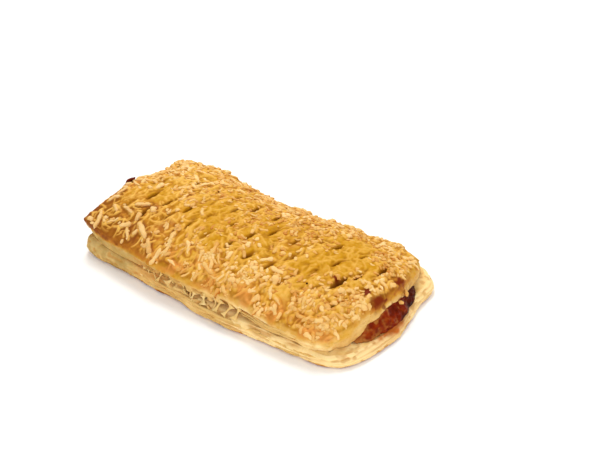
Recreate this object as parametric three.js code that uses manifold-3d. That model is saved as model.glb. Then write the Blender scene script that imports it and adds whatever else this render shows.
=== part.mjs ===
import * as THREE from 'three';
import { mergeVertices } from 'three/addons/utils/BufferGeometryUtils.js';
import Module from 'manifold-3d';

// A baked cheese puff pastry: two puffed sheets of layered dough with a tomato and cheese filling between
// them, slits cut crosswise in the upper sheet, and grated cheese baked onto it.
// Millimetres. +X runs along the length to the end where the filling shows most, -Y is the front long side,
// +Z is up, and the origin is under the middle of the pastry, on the surface it rests on.

// Driving dimensions
const length = 153; // end to end
const width = 82; // front to back
const crownHeight = 25; // top of the dome, without the grated cheese
const lip = 7; // how far the lower sheet reaches past the upper one at the +X end
const clearance = 0.3; // space between neighbouring pieces

// Plan of each sheet: how far its edges stand in, lean, bow out and round off at the corners
const lowerPlan = {
  leftInset: 1.2, leftLean: 1.3, leftRound: 1.6, endRound: 7.6, endRoundBack: 5.4,
  endSlant: 1.9, endSlantAt: 0.42, endSlantSpread: 0.3,
  frontInset: 2.2, frontBow: 2.6, frontBowAt: 0.09, frontBowSpread: 0.34, frontCorner: 5.5,
  frontLeft: 1.4, frontSwell: 0.9, frontSwellAt: -0.84, frontSwellSpread: 0.13,
  backWaist: 4, backCorner: 3, waver: 0.4,
};
const upperPlan = {
  leftInset: -0.4, leftLean: 2.4, leftBow: 0.8, endRound: 6.3, endShift: 0.12, frontInset: 1.7,
  frontDip: 2.2, frontDipAt: 0.38, frontDipSpread: 0.22, frontLeft: 5.5, frontCorner: 6.8,
  backInset: 1.8, backWaist: 5.5, backCorner: 3, waver: 0.4,
};

// Heights at the middle of the seam between the sheets and of the upper rim, and their fall towards +X
const seamHeight = 7.2;
const seamFall = 1.4;
const rimHeight = 12.7;
const rimFall = 2.2;
const cornerLift = 1.6; // the upper sheet's front corner at the -X end curls up
const corner = { y: -37, reach: 15, gape: 3.4, peel: 1.8 }; // there the sheets part, the lower one peels up
const endDrop = { left: 0.52, right: 0.6 }; // share of the dome lost at each short end
const leftDip = { depth: 2.8, at: 0.36, spread: 0.36 }; // the -X end of the dome sags towards the back
const lipDroop = 0.9; // fall of the lower sheet's top face at the very end of the lip

// Layered sides: the rounding of their upper and lower edges, and how deep the ledges are
const edgeRound = { above: 1.5, below: 0.8, lip: 2.8 };
const ledgeDepth = { lower: 1.1, upper: 0.8 };

// Filling
const bedHeight = 4.8; // its flat underside
const fillingRise = 10.6; // its height in the middle of the pastry
const fillingSide = 1.6; // its height along both long sides
const fillingHalfWidth = 25;
const fillingTaper = 0.1; // share of the width lost towards +X
const fillingShift = 2; // off the pastry's middle, towards the back
const fillingEnds = {
  left: -74, right: 74.6, leftRound: 1.2, rightRound: 6.5, drop: 0.42, lean: 5.2, leanMargin: 1.3,
};
const hollowRunOut = 4; // how far its hollow runs past the -X end

// Crosswise slits, in staggered rows
const slitPitch = 11.6; // along X
const slitPhase = 2; // place of one slit of the second row, from which the others follow
const slitRows = 4;
const slitRowPitch = 9.5; // along Y
const slitRowStart = -17;
const slitReach = 64; // no slit lies further from the middle than this
const slitJitter = 0.8;
const slitSize = { across: 2.8, along: 9.6, depth: 3.4, least: 0.7, most: 1.1 };
const slitTilt = 0.22; // radians off the Y axis
const openSlit = { row: 1, x: 48.4, scale: 1.35 }; // one slit that baked wide open

// Pockets torn open between the layers along the front side
const tears = { from: -50, to: 16, count: 6, reach: 5.5, height: 1.5, depth: 2.6, inset: 0.4, below: 2 };

// Grated cheese, the largest shreds first
const shredCount = 102;
const shredLength = { longest: 13, shortest: 5.5, rightShare: 0.6 }; // shorter towards the +X end
const shredThickness = 2.1;
const shredSides = 4;
const shredSpacing = 4.6; // between the middles of two shreds
const shredLift = 0.25; // of a shred's axis above the crust
const shredBend = 0.3; // of its length, at most
const shredKeepOut = { x: 3, y: 6 }; // around the middle of a slit
const shredRimShare = 0.7; // how much likelier a shred is at the rim than over the slits

const seeds = { slits: 17, tears: 29, shreds: 41 };

const wasm = await Module();
wasm.setup();

const mix = (a, b, t) => a + (b - a) * t;
const bell = (t, middle, spread) => Math.exp(-(((t - middle) / spread) ** 2));
const share = (u) => (u + 1) / 2; // -1 to 1 becomes 0 to 1

// Slow waves that keep the edges and faces from being regular
function wave(t, phase) {
  return 0.6 * Math.sin(t + phase) + 0.4 * Math.sin(2.3 * t + 1.7 * phase);
}

// Repeatable random numbers from 0 to 1
function seeded(seed) {
  let state = seed >>> 0;
  return () => {
    state = (state + 0x6d2b79f5) >>> 0;
    let t = Math.imul(state ^ (state >>> 15), state | 1);
    t = (t + Math.imul(t ^ (t >>> 7), t | 61)) ^ t;
    return ((t ^ (t >>> 14)) >>> 0) / 4294967296;
  };
}

// Each sheet's four edges, as places along X for v and along Y for u, both from -1 to 1
function lowerLeft(v) {
  const inset = lowerPlan.leftInset + lowerPlan.leftRound * Math.max(-v, 0) ** 20;
  return -length / 2 + inset + lowerPlan.leftLean * (v + 1) + lowerPlan.waver * wave(5 * v, 1);
}

function lowerRight(v) {
  const slant = lowerPlan.endSlant * bell(v, lowerPlan.endSlantAt, lowerPlan.endSlantSpread);
  const round = (v < 0 ? lowerPlan.endRound : lowerPlan.endRoundBack) * Math.abs(v) ** 2.6;
  return length / 2 - round - slant + lowerPlan.waver * wave(6 * v, 2);
}

function lowerFront(u) {
  const bow = lowerPlan.frontBow * bell(u, lowerPlan.frontBowAt, lowerPlan.frontBowSpread);
  const swell = lowerPlan.frontSwell * bell(u, lowerPlan.frontSwellAt, lowerPlan.frontSwellSpread);
  const corners = lowerPlan.frontCorner * Math.max(u, 0) ** 6 + lowerPlan.frontLeft * Math.max(-u, 0) ** 24;
  return -width / 2 + lowerPlan.frontInset - bow - swell + corners + lowerPlan.waver * wave(9 * u, 3);
}

function lowerBack(u) {
  const waist = lowerPlan.backWaist * bell(u, 0, 0.5);
  return width / 2 - waist - lowerPlan.backCorner * Math.abs(u) ** 9 + lowerPlan.waver * wave(8 * u, 4);
}

function upperLeft(v) {
  const bow = upperPlan.leftInset - upperPlan.leftBow * (1 - v * v);
  return -length / 2 + bow + upperPlan.leftLean * (v + 1) + upperPlan.waver * wave(5 * v, 5);
}

function upperRight(v) {
  const round = upperPlan.endRound * Math.abs(v - upperPlan.endShift) ** 1.8;
  return length / 2 - lip - round + upperPlan.waver * wave(6 * v, 6);
}

function upperFront(u) {
  const round = u < 0 ? upperPlan.frontLeft * (-u) ** 2.6 : upperPlan.frontCorner * u ** 7;
  const dip = upperPlan.frontDip * bell(u, upperPlan.frontDipAt, upperPlan.frontDipSpread);
  return -width / 2 + upperPlan.frontInset + round + dip + upperPlan.waver * wave(9 * u, 7);
}

function upperBack(u) {
  const waist = upperPlan.backInset + upperPlan.backWaist * bell(u, -0.1, 0.52);
  return width / 2 - waist - upperPlan.backCorner * Math.abs(u) ** 8 + upperPlan.waver * wave(8 * u, 8);
}

const lowerEdges = { left: lowerLeft, right: lowerRight, front: lowerFront, back: lowerBack };
const upperEdges = { left: upperLeft, right: upperRight, front: upperFront, back: upperBack };

function inPlan(edges, u, v) {
  return {
    x: mix(edges.left(v), edges.right(v), share(u)),
    y: mix(edges.front(u), edges.back(u), share(v)),
  };
}

const seamAt = (x) => seamHeight - (seamFall * x * 2) / length;

// 1 at the front corner of the -X end, 0 from a little way in
function nearCorner(x, y) {
  return Math.max(1 - Math.hypot(x + length / 2, y - corner.y) / corner.reach, 0) ** 2;
}

// Height of the upper crust: a rim that falls towards +X, with a broad, slightly uneven dome
function crustHeight(u, v) {
  const drop = u < 0 ? endDrop.left : endDrop.right;
  const fall = rimFall * u * (0.75 - 0.25 * v);
  const curl = cornerLift * Math.max(-u, 0) ** 8 * Math.max(-v, 0) ** 4;
  const rim = rimHeight - fall + curl + 0.4 * wave(6 * u + 3 * v, 9);
  const dome = (1 - Math.abs(v) ** 2.3) * (1 - drop * u ** 4);
  const swell = 0.5 * wave(7 * u + 2 * v, 2.5) * (1 - v * v) * (1 - u * u);
  const dip = leftDip.depth * bell(v, leftDip.at, leftDip.spread) * Math.max(-u, 0) ** 4;
  return rim + (crownHeight - rimHeight) * dome + swell - dip;
}

// A box divided into a grid, with every corner (u, v, w from -1 to 1) moved to its place
function formed(divisions, place) {
  const form = new THREE.BoxGeometry(2, 2, 2, ...divisions);
  const points = form.attributes.position;
  for (let i = 0; i < points.count; i += 1) {
    const p = place(points.getX(i), points.getY(i), points.getZ(i));
    points.setXYZ(i, p.x, p.y, p.z);
  }
  return form;
}

// Moves a point of a sheet's rim inwards: rounded above and below, with ledges between the layers
function layeredEdge(p, u, v, w, depth, endRound) {
  const place = 0.13 * p.x + 0.17 * p.y;
  const layer = 0.5 + 0.5 * Math.cos(5.2 * w + 1.2 * wave(place, 3.1));
  const above = u > 0.999 ? endRound : edgeRound.above;
  const round = (w > 0 ? above : edgeRound.below) * w ** 4;
  const inwards = round + depth * layer * (0.6 + 0.4 * wave(2.7 * place, 0.4));
  if (Math.abs(u) > 0.999) p.x -= Math.sign(u) * inwards;
  if (Math.abs(v) > 0.999) p.y -= Math.sign(v) * inwards;
  return p;
}

function lowerSheetForm() {
  return formed([26, 12, 4], (u, v, w) => {
    const p = inPlan(lowerEdges, u, v);
    const peel = corner.peel * nearCorner(p.x, p.y);
    const top = seamAt(p.x) - clearance / 2 - lipDroop * Math.max(u, 0) ** 12;
    p.z = top * share(w) + peel;
    return layeredEdge(p, u, v, w, ledgeDepth.lower, edgeRound.lip);
  });
}

function upperSheetForm() {
  return formed([36, 16, 4], (u, v, w) => {
    const p = inPlan(upperEdges, u, v);
    const under = seamAt(p.x) + clearance / 2 + corner.gape * nearCorner(p.x, p.y);
    p.z = mix(under, crustHeight(u, v), share(w));
    return layeredEdge(p, u, v, w, ledgeDepth.upper, edgeRound.above);
  });
}

// The filling's height above its underside: full in the middle, lower at the ends, thin along both sides
function fillingDepth(u, v) {
  const ends = 1 - fillingEnds.drop * Math.abs(u) ** 3;
  const sides = (1 - v * v) ** 0.8;
  return fillingSide + (fillingRise - fillingSide) * ends * sides + 0.35 * wave(9 * u + 4 * v, 1.3) * sides;
}

// The filling, or with a margin the hollow that it lies in, which runs out of both sheets at the -X end.
// Its +X end leans back under the upper sheet.
function fillingForm(margin) {
  return formed([18, 10, 3], (u, v, w) => {
    const left = fillingEnds.left + fillingEnds.leftRound * v * v + 0.5 * wave(6 * v, 2.2);
    const right = fillingEnds.right - fillingEnds.rightRound * v * v + 0.5 * wave(6 * v, 3.1);
    let x = mix(left, right - fillingEnds.lean * share(w) ** 1.6, share(u));
    if (margin > 0 && u === 1) x += fillingEnds.leanMargin * margin;
    if (margin > 0 && u === -1) x -= hollowRunOut;
    const half = fillingHalfWidth * (1 - fillingTaper * u) + 0.8 * wave(8 * u, 5.5) + margin;
    const y = fillingShift + v * half;
    const z = mix(bedHeight - margin, bedHeight + fillingDepth(u, v) + margin, share(w));
    return { x, y, z };
  });
}

// Closed solids for joining and cutting, and back
function solid(form) {
  form.deleteAttribute('normal');
  form.deleteAttribute('uv');
  const welded = mergeVertices(form);
  const vertProperties = new Float32Array(welded.attributes.position.array);
  const triVerts = new Uint32Array(welded.index.array);
  return new wasm.Manifold(new wasm.Mesh({ numProp: 3, vertProperties, triVerts }));
}

function geometryOf(body) {
  const { vertProperties, triVerts } = body.getMesh();
  const geometry = new THREE.BufferGeometry();
  geometry.setAttribute('position', new THREE.BufferAttribute(new Float32Array(vertProperties), 3));
  geometry.setIndex(new THREE.BufferAttribute(new Uint32Array(triVerts), 1));
  geometry.computeVertexNormals();
  return geometry;
}

// The point of the crust nearest to a place in plan, lifted by rise
function crustPoint(x, y, rise) {
  let u = (2 * x) / length;
  let v = (2 * y) / width;
  for (let step = 0; step < 8; step += 1) {
    const p = inPlan(upperEdges, u, v);
    u += (2 * (x - p.x)) / length;
    v += (2 * (y - p.y)) / width;
  }
  const onU = THREE.MathUtils.clamp(u, -0.97, 0.97);
  const onV = THREE.MathUtils.clamp(v, -0.97, 0.97);
  const p = inPlan(upperEdges, onU, onV);
  return new THREE.Vector3(p.x, p.y, crustHeight(onU, onV) + rise);
}

// Staggered slits: the middle of each, and its size
function slitPlaces() {
  const random = seeded(seeds.slits);
  const places = [];
  for (let row = 0; row < slitRows; row += 1) {
    const shift = slitPhase + (row % 2 === 1 ? 0 : slitPitch / 2);
    const first = Math.ceil((-slitReach - shift) / slitPitch);
    const last = Math.floor((slitReach - shift) / slitPitch);
    for (let i = first; i <= last; i += 1) {
      const lattice = shift + i * slitPitch;
      const x = lattice + mix(-slitJitter, slitJitter, random());
      const y = slitRowStart + row * slitRowPitch + mix(-slitJitter, slitJitter, random());
      const size = mix(slitSize.least, slitSize.most, random());
      const open = row === openSlit.row && Math.abs(lattice - openSlit.x) < slitPitch / 2;
      places.push({ x, y, scale: open ? openSlit.scale : size });
    }
  }
  return places;
}

// A slit is a lens-shaped groove with a sharp bottom
function slitCutter(place) {
  const { across, along, depth } = slitSize;
  const cutter = new THREE.OctahedronGeometry(1);
  cutter.scale((across / 2) * place.scale, (along / 2) * place.scale, depth * place.scale);
  cutter.rotateZ(-slitTilt);
  const middle = crustPoint(place.x, place.y, 0.4);
  cutter.translate(middle.x, middle.y, middle.z);
  return solid(cutter);
}

// Torn pockets: flat hollows in the front side, about the seam
function tearCutters() {
  const random = seeded(seeds.tears);
  const cutters = [];
  for (let i = 0; i < tears.count; i += 1) {
    const x = mix(tears.from, tears.to, (i + mix(0.2, 0.8, random())) / tears.count);
    const scale = mix(0.7, 1.2, random());
    const cutter = new THREE.IcosahedronGeometry(1);
    cutter.scale(tears.reach * scale, tears.depth, tears.height * scale);
    const y = lowerFront((2 * x) / length) + tears.inset;
    cutter.translate(x, y, seamAt(x) - tears.below * random());
    cutters.push(solid(cutter));
  }
  return cutters;
}

// Places of the shreds: thick along the rim, thin over the slits, each clear of the ones before
function shredPlaces() {
  const random = seeded(seeds.shreds);
  const slits = slitPlaces();
  const places = [];
  while (places.length < shredCount) {
    const u = mix(-0.94, 0.94, random());
    const v = mix(-0.9, 0.9, random());
    const turn = random() * Math.PI;
    const bend = mix(-shredBend, shredBend, random()) / 2;
    const rim = Math.max(Math.abs(u) ** 3, v * v);
    const wanted = random() < 1 - shredRimShare * (1 - rim);
    const { x, y } = inPlan(upperEdges, u, v);
    const across = shredKeepOut.x;
    const overSlit = slits.some((s) => Math.abs(s.x - x) < across && Math.abs(s.y - y) < shredKeepOut.y);
    const crowded = places.some((p) => Math.hypot(p.x - x, p.y - y) < shredSpacing);
    if (wanted && !overSlit && !crowded) places.push({ x, y, u, turn, bend });
  }
  return places;
}

// A shred of grated cheese: a short bent stick that lies half sunk in the crust
function shredForm(place, size) {
  const along = new THREE.Vector2(Math.cos(place.turn), Math.sin(place.turn));
  const points = [-0.5, 0, 0.5].map((reach) => {
    const side = place.bend * (1 - 4 * reach * reach);
    const x = place.x + size * (reach * along.x - side * along.y);
    const y = place.y + size * (reach * along.y + side * along.x);
    return crustPoint(x, y, shredLift);
  });
  const corners = [];
  for (let k = 0; k < shredSides; k += 1) {
    const angle = ((2 * k + 1) * Math.PI) / shredSides;
    corners.push(new THREE.Vector2(Math.cos(angle), Math.sin(angle)).multiplyScalar(shredThickness / 2));
  }
  const extrudePath = new THREE.CatmullRomCurve3(points);
  return new THREE.ExtrudeGeometry(new THREE.Shape(corners), { steps: 2, bevelEnabled: false, extrudePath });
}

function shredSolids() {
  return shredPlaces().map((place, i) => {
    const size = mix(shredLength.longest, shredLength.shortest, Math.sqrt(i / shredCount));
    const leftness = THREE.MathUtils.clamp(0.4 - place.u, 0, 1);
    return solid(shredForm(place, size * mix(shredLength.rightShare, 1, leftness)));
  });
}

const hollow = solid(fillingForm(clearance));
const fillingBody = solid(fillingForm(0));
let lowerBody = solid(lowerSheetForm()).subtract(hollow);
let upperBody = solid(upperSheetForm()).subtract(hollow);
for (const tear of tearCutters()) {
  lowerBody = lowerBody.subtract(tear);
  upperBody = upperBody.subtract(tear);
}
for (const place of slitPlaces()) {
  upperBody = upperBody.subtract(slitCutter(place));
}
for (const shred of shredSolids()) {
  upperBody = upperBody.add(shred);
}

function piece(name, body, color, roughness) {
  const material = new THREE.MeshStandardMaterial({ color, roughness, metalness: 0 });
  const mesh = new THREE.Mesh(geometryOf(body), material);
  mesh.name = name;
  return mesh;
}

const pastry = new THREE.Group();
pastry.add(piece('bottom_sheet', lowerBody, 0xdab57c, 0.75));
pastry.add(piece('filling', fillingBody, 0x7a2a0c, 0.35));
pastry.add(piece('top_sheet', upperBody, 0xd9a04a, 0.6));

export default pastry;
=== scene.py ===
import math
import bpy
import numpy as np
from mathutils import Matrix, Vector


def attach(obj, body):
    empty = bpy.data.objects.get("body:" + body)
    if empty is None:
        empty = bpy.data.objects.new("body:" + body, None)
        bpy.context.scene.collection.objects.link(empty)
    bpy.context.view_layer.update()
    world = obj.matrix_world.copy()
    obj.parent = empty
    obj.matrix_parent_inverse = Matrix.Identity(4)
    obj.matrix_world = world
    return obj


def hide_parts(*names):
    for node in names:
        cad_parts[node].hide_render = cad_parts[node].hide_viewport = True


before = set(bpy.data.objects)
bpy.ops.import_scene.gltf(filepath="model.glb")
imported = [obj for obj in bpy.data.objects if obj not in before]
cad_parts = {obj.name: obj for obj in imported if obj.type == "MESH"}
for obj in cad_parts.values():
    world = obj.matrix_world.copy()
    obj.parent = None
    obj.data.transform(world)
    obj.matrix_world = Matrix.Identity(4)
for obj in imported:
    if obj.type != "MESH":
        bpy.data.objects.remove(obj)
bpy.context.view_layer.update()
print("frame loaded:", sorted(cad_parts))

mm = 0.001  # shapes are worked out in millimetres, Blender takes metres

# the baked pastry as a whole: +X to the end where the filling shows, -Y the front, +Z up
pastry = {
    "length": 153, "width": 82, "crown": 25, "lip": 7, "gap": 0.3, "waver": 0.4,
    "seam": 7.2, "seamFall": 1.4, "rim": 12.7, "rimFall": 2.2, "dropLeft": 0.52, "dropRight": 0.6,
    "cornerLift": 1.6, "cornerY": -37, "cornerReach": 15, "cornerGape": 3.4, "cornerPeel": 1.8,
    "lipDroop": 0.9, "leftDip": 2.8,
}
lowerPlan = {
    "leftInset": 1.2, "leftLean": 1.3, "leftRound": 1.6,
    "endRound": 7.6, "endRoundBack": 5.4, "endSlant": 1.9,
    "frontInset": 2.2, "frontBow": 2.6, "frontSwell": 0.9, "frontLeft": 1.4, "frontCorner": 5.5,
    "backWaist": 4, "backCorner": 3,
}
upperPlan = {
    "leftInset": -0.4, "leftLean": 2.4, "leftBow": 0.8, "endRound": 6.3, "endShift": 0.12,
    "frontInset": 1.7, "frontDip": 2.2, "frontLeft": 5.5, "frontCorner": 6.8,
    "backInset": 1.8, "backWaist": 5.5, "backCorner": 3,
}
halfLength = pastry["length"] / 2
halfWidth = pastry["width"] / 2


def mix(a, b, t):
    return a + (b - a) * t


def bell(t, middle, spread):
    return np.exp(-((t - middle) / spread) ** 2)


def ease(low, high, t):
    t = np.clip((t - low) / (high - low), 0, 1)
    return t * t * (3 - 2 * t)


def wave(t, phase):
    return 0.6 * np.sin(t + phase) + 0.4 * np.sin(2.3 * t + 1.7 * phase)


# repeatable random numbers from 0 to 1, the same row for the same seed everywhere
def seeded(seed):
    state = seed

    def draw():
        nonlocal state
        state = (state + 0x6D2B79F5) & 0xFFFFFFFF
        t = ((state ^ (state >> 15)) * (state | 1)) & 0xFFFFFFFF
        t = ((t + (((t ^ (t >> 7)) * (t | 61)) & 0xFFFFFFFF)) & 0xFFFFFFFF) ^ t
        return (t ^ (t >> 14)) / 4294967296

    return draw


def latticeValue(i, j, k, seed):
    n = (i * 374761393 + j * 668265263 + k * 1440662683 + seed * 974634777) & 0xFFFFFFFF
    n = n.astype(np.uint64)
    n = ((n ^ (n >> np.uint64(13))) * np.uint64(1274126177)) & np.uint64(0xFFFFFFFF)
    n = ((n ^ (n >> np.uint64(16))) * np.uint64(2246822519)) & np.uint64(0xFFFFFFFF)
    return (n ^ (n >> np.uint64(15))).astype(float) / 2147483647.5 - 1


# smooth random relief from -1 to 1, with lumps of the given size
def cloud(x, y, z, size, seed, octaves=1):
    total, weight, share = 0, 0, 1
    for octave in range(octaves):
        scale = 2.03 ** octave / size
        places = [np.asarray(a, float) * scale + 31.7 * octave for a in np.broadcast_arrays(x, y, z)]
        cells = [np.floor(p).astype(np.int64) for p in places]
        parts = [p - c for p, c in zip(places, cells)]
        fx, fy, fz = [t * t * t * (t * (t * 6 - 15) + 10) for t in parts]
        value = 0
        for corner in range(8):
            a, b, c = corner & 1, (corner >> 1) & 1, corner >> 2
            near = (fx if a else 1 - fx) * (fy if b else 1 - fy) * (fz if c else 1 - fz)
            value = value + near * latticeValue(cells[0] + a, cells[1] + b, cells[2] + c, seed + octave)
        total = total + share * value
        weight += share
        share *= 0.5
    return total / weight


# a grid with its fine relief smoothed away, by running means over reach cells each way
def softened(values, reach):
    span = 2 * reach + 1
    for axis in (0, 1, 0, 1):
        pad = [(reach + 1, reach) if a == axis else (0, 0) for a in (0, 1)]
        sums = np.moveaxis(np.cumsum(np.pad(values, pad, mode="edge"), axis=axis), axis, 0)
        values = np.moveaxis((sums[span:] - sums[:-span]) / span, 0, axis)
    return values


# each sheet's left, right, front and back edge, for u along X and v along Y, both from -1 to 1
def lowerEdges(u, v):
    p, waver = lowerPlan, pastry["waver"]
    inset = p["leftInset"] + p["leftRound"] * np.maximum(-v, 0) ** 20
    left = -halfLength + inset + p["leftLean"] * (v + 1) + waver * wave(5 * v, 1)
    endRound = np.where(v < 0, p["endRound"], p["endRoundBack"]) * np.abs(v) ** 2.6
    right = halfLength - endRound - p["endSlant"] * bell(v, 0.42, 0.3) + waver * wave(6 * v, 2)
    bow = p["frontInset"] - p["frontBow"] * bell(u, 0.09, 0.34) - p["frontSwell"] * bell(u, -0.84, 0.13)
    corners = p["frontCorner"] * np.maximum(u, 0) ** 6 + p["frontLeft"] * np.maximum(-u, 0) ** 24
    front = -halfWidth + bow + corners + waver * wave(9 * u, 3)
    waist = p["backWaist"] * bell(u, 0, 0.5)
    back = halfWidth - waist - p["backCorner"] * np.abs(u) ** 9 + waver * wave(8 * u, 4)
    return left, right, front, back


def upperEdges(u, v):
    p, waver = upperPlan, pastry["waver"]
    bow = p["leftInset"] - p["leftBow"] * (1 - v * v)
    left = -halfLength + bow + p["leftLean"] * (v + 1) + waver * wave(5 * v, 5)
    endRound = p["endRound"] * np.abs(v - p["endShift"]) ** 1.8
    right = halfLength - pastry["lip"] - endRound + waver * wave(6 * v, 6)
    corners = np.where(u < 0, p["frontLeft"] * np.abs(u) ** 2.6, p["frontCorner"] * np.abs(u) ** 7)
    dip = p["frontDip"] * bell(u, 0.38, 0.22)
    front = -halfWidth + p["frontInset"] + corners + dip + waver * wave(9 * u, 7)
    waist = p["backInset"] + p["backWaist"] * bell(u, -0.1, 0.52)
    back = halfWidth - waist - p["backCorner"] * np.abs(u) ** 8 + waver * wave(8 * u, 8)
    return left, right, front, back


def inPlan(edges, u, v):
    left, right, front, back = edges(u, v)
    return mix(left, right, (u + 1) / 2), mix(front, back, (v + 1) / 2)


def seamAt(x):
    return pastry["seam"] - pastry["seamFall"] * x * 2 / pastry["length"]


# 1 at the front left corner, where the sheets part, and 0 from a little way in
def nearCorner(x, y):
    away = np.hypot(x + halfLength, y - pastry["cornerY"])
    return np.maximum(1 - away / pastry["cornerReach"], 0) ** 2


def crustHeight(u, v):
    drop = np.where(u < 0, pastry["dropLeft"], pastry["dropRight"])
    fall = pastry["rimFall"] * u * (0.75 - 0.25 * v)
    curl = pastry["cornerLift"] * np.maximum(-u, 0) ** 8 * np.maximum(-v, 0) ** 4
    rim = pastry["rim"] - fall + curl + 0.4 * wave(6 * u + 3 * v, 9)
    dome = (1 - np.abs(v) ** 2.3) * (1 - drop * u ** 4)
    swell = 0.5 * wave(7 * u + 2 * v, 2.5) * (1 - v * v) * (1 - u * u)
    dip = pastry["leftDip"] * bell(v, 0.36, 0.36) * np.maximum(-u, 0) ** 4
    return rim + (pastry["crown"] - pastry["rim"]) * dome + swell - dip


# the u and v of a place on the upper sheet, past 1 where it lies outside the rim
def onUpperSheet(x, y):
    u, v = x / halfLength, y / halfWidth
    for step in range(8):
        px, py = inPlan(upperEdges, np.clip(u, -1, 1), np.clip(v, -1, 1))
        u = u + (x - px) / halfLength - (u - np.clip(u, -1, 1))
        v = v + (y - py) / halfWidth - (v - np.clip(v, -1, 1))
    return u, v


# filling: its height over its bed, full in the middle, lower at both ends, thin along the sides
sauce = {
    "bed": 4.8, "rise": 10.6, "side": 1.6, "halfWidth": 25, "taper": 0.1, "shift": 2,
    "left": -74, "right": 74.6, "leftRound": 1.2, "rightRound": 6.5, "drop": 0.42,
    "lean": 5.2, "leanCurve": 1.6,
    "across": 170, "deep": 150, "sideRows": 24, "lumps": 1.0,
}


def sauceDepth(u, v):
    ends = 1 - sauce["drop"] * np.abs(u) ** 3
    sides = np.maximum(1 - v * v, 0) ** 0.8
    body = (sauce["rise"] - sauce["side"]) * ends * sides
    return sauce["side"] + body + 0.35 * wave(9 * u + 4 * v, 1.3) * sides


def sauceHalf(u):
    return sauce["halfWidth"] * (1 - sauce["taper"] * u) + 0.8 * wave(8 * u, 5.5)


def sauceEnds(v):
    left = sauce["left"] + sauce["leftRound"] * v * v + 0.5 * wave(6 * v, 2.2)
    right = sauce["right"] - sauce["rightRound"] * v * v + 0.5 * wave(6 * v, 3.1)
    return left, right


# height of the filling's face over a place in plan, and how far that place is inside it, 0 to 1
def sauceTop(x, y):
    s = sauce
    u = np.clip((x - s["left"]) / (s["right"] - s["lean"] - s["left"]) * 2 - 1, -1, 1)
    v = (y - s["shift"]) / sauceHalf(u)
    within = np.clip(v, -1, 1)
    left, right = sauceEnds(within)
    high = np.clip((right - x) / s["lean"], 0, 1) ** (1 / s["leanCurve"])
    inside = ease(1.1, 0.97, np.abs(v)) * ease(right + 0.9, right - 0.3, x)
    return s["bed"] + sauceDepth(u, within) * high, inside


# marks of the bare dough and of the loose cheese, for the finishes to read
doughMarks = ("bake", "oil", "groove", "stain")
cheeseMarks = ("tint", "toast", "foot", "tan")


# a mesh in the making: rows of points with their marks, and the faces between them
def newMould(*markNames):
    return {"points": [], "quads": [], "triangles": [], "marks": {n: [] for n in markNames}, "count": 0}


def pour(mould, x, y, z, **marks):
    shape = np.broadcast(x, y, z).shape
    rows = np.stack(np.broadcast_arrays(x, y, z), axis=-1).reshape(-1, 3)
    mould["points"].append(rows)
    for name, kept in mould["marks"].items():
        kept.append(np.broadcast_to(np.asarray(marks.get(name, 0), float), shape).reshape(-1))
    first = mould["count"]
    mould["count"] += len(rows)
    return np.arange(first, mould["count"]).reshape(shape)


# a new ring with a closed band of faces up to the last one, rings counter-clockwise from above
def ringBelow(mould, above, x, y, z, **marks):
    ring = pour(mould, x, y, z, **marks)
    mould["quads"].append(np.stack([above, ring, np.roll(ring, -1), np.roll(above, -1)], axis=1))
    return ring


def capOff(mould, ring, middle, facesUp):
    after = np.roll(ring, -1)
    middles = np.full(len(ring), middle)
    order = [middles, ring, after] if facesUp else [after, ring, middles]
    mould["triangles"].append(np.stack(order, axis=1))


def fillGrid(mould, numbers):
    corner = [numbers[:-1, :-1], numbers[:-1, 1:], numbers[1:, 1:], numbers[1:, :-1]]
    mould["quads"].append(np.stack([a.ravel() for a in corner], axis=1))


def rimOf(grid):
    return np.concatenate([grid[0, :-1], grid[:-1, -1], grid[-1, :0:-1], grid[:0:-1, 0]])


# a tube's girth along it, t from -1 to 1: even, then rounded off at both ends
def bluntEnds(t, power):
    return np.maximum((1 - np.abs(t) ** power) ** 0.5, 0.05)


# x, y and z of an array of points
def splitUp(points):
    return np.moveaxis(points, -1, 0)


# rings of points round middle lines, each line with as many rings as it has points
def ringsRound(centre, upward, width, tall, sides):
    upward = np.broadcast_to(upward, centre.shape)
    along = np.gradient(centre, axis=1)
    along /= np.linalg.norm(along, axis=-1, keepdims=True)
    sideways = np.cross(along, upward)
    sideways /= np.linalg.norm(sideways, axis=-1, keepdims=True)
    upward = np.cross(sideways, along)
    angle = np.linspace(0, 2 * np.pi, sides, endpoint=False)
    across, high = [np.sign(a) * np.abs(a) ** 0.8 for a in (np.cos(angle), np.sin(angle))]  # soft corners
    ringX = sideways[:, :, None] * (width[..., None] * across)[..., None]
    ringZ = upward[:, :, None] * (tall[..., None] * high)[..., None]
    return ringX + ringZ, high


# the rings as a closed skin, with a tip at either end of each middle line
def skinOver(mould, centre, points, marks, tipMarks):
    numbers = pour(mould, *splitUp(points), **marks)
    firstTips, lastTips = [pour(mould, *centre[:, end].T, **tipMarks) for end in (0, -1)]
    a, b = numbers[:, :-1], numbers[:, 1:]
    quads = np.stack([a, b, np.roll(b, -1, axis=2), np.roll(a, -1, axis=2)], axis=-1)
    mould["quads"].append(quads.reshape(-1, 4))
    for rim, tips, isLast in ((numbers[:, 0], firstTips, False), (numbers[:, -1], lastTips, True)):
        after = np.roll(rim, -1, axis=1)
        tipGrid = np.broadcast_to(tips[:, None], rim.shape)
        order = [tipGrid, after, rim] if isLast else [tipGrid, rim, after]
        mould["triangles"].append(np.stack(order, axis=-1).reshape(-1, 3))


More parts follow.
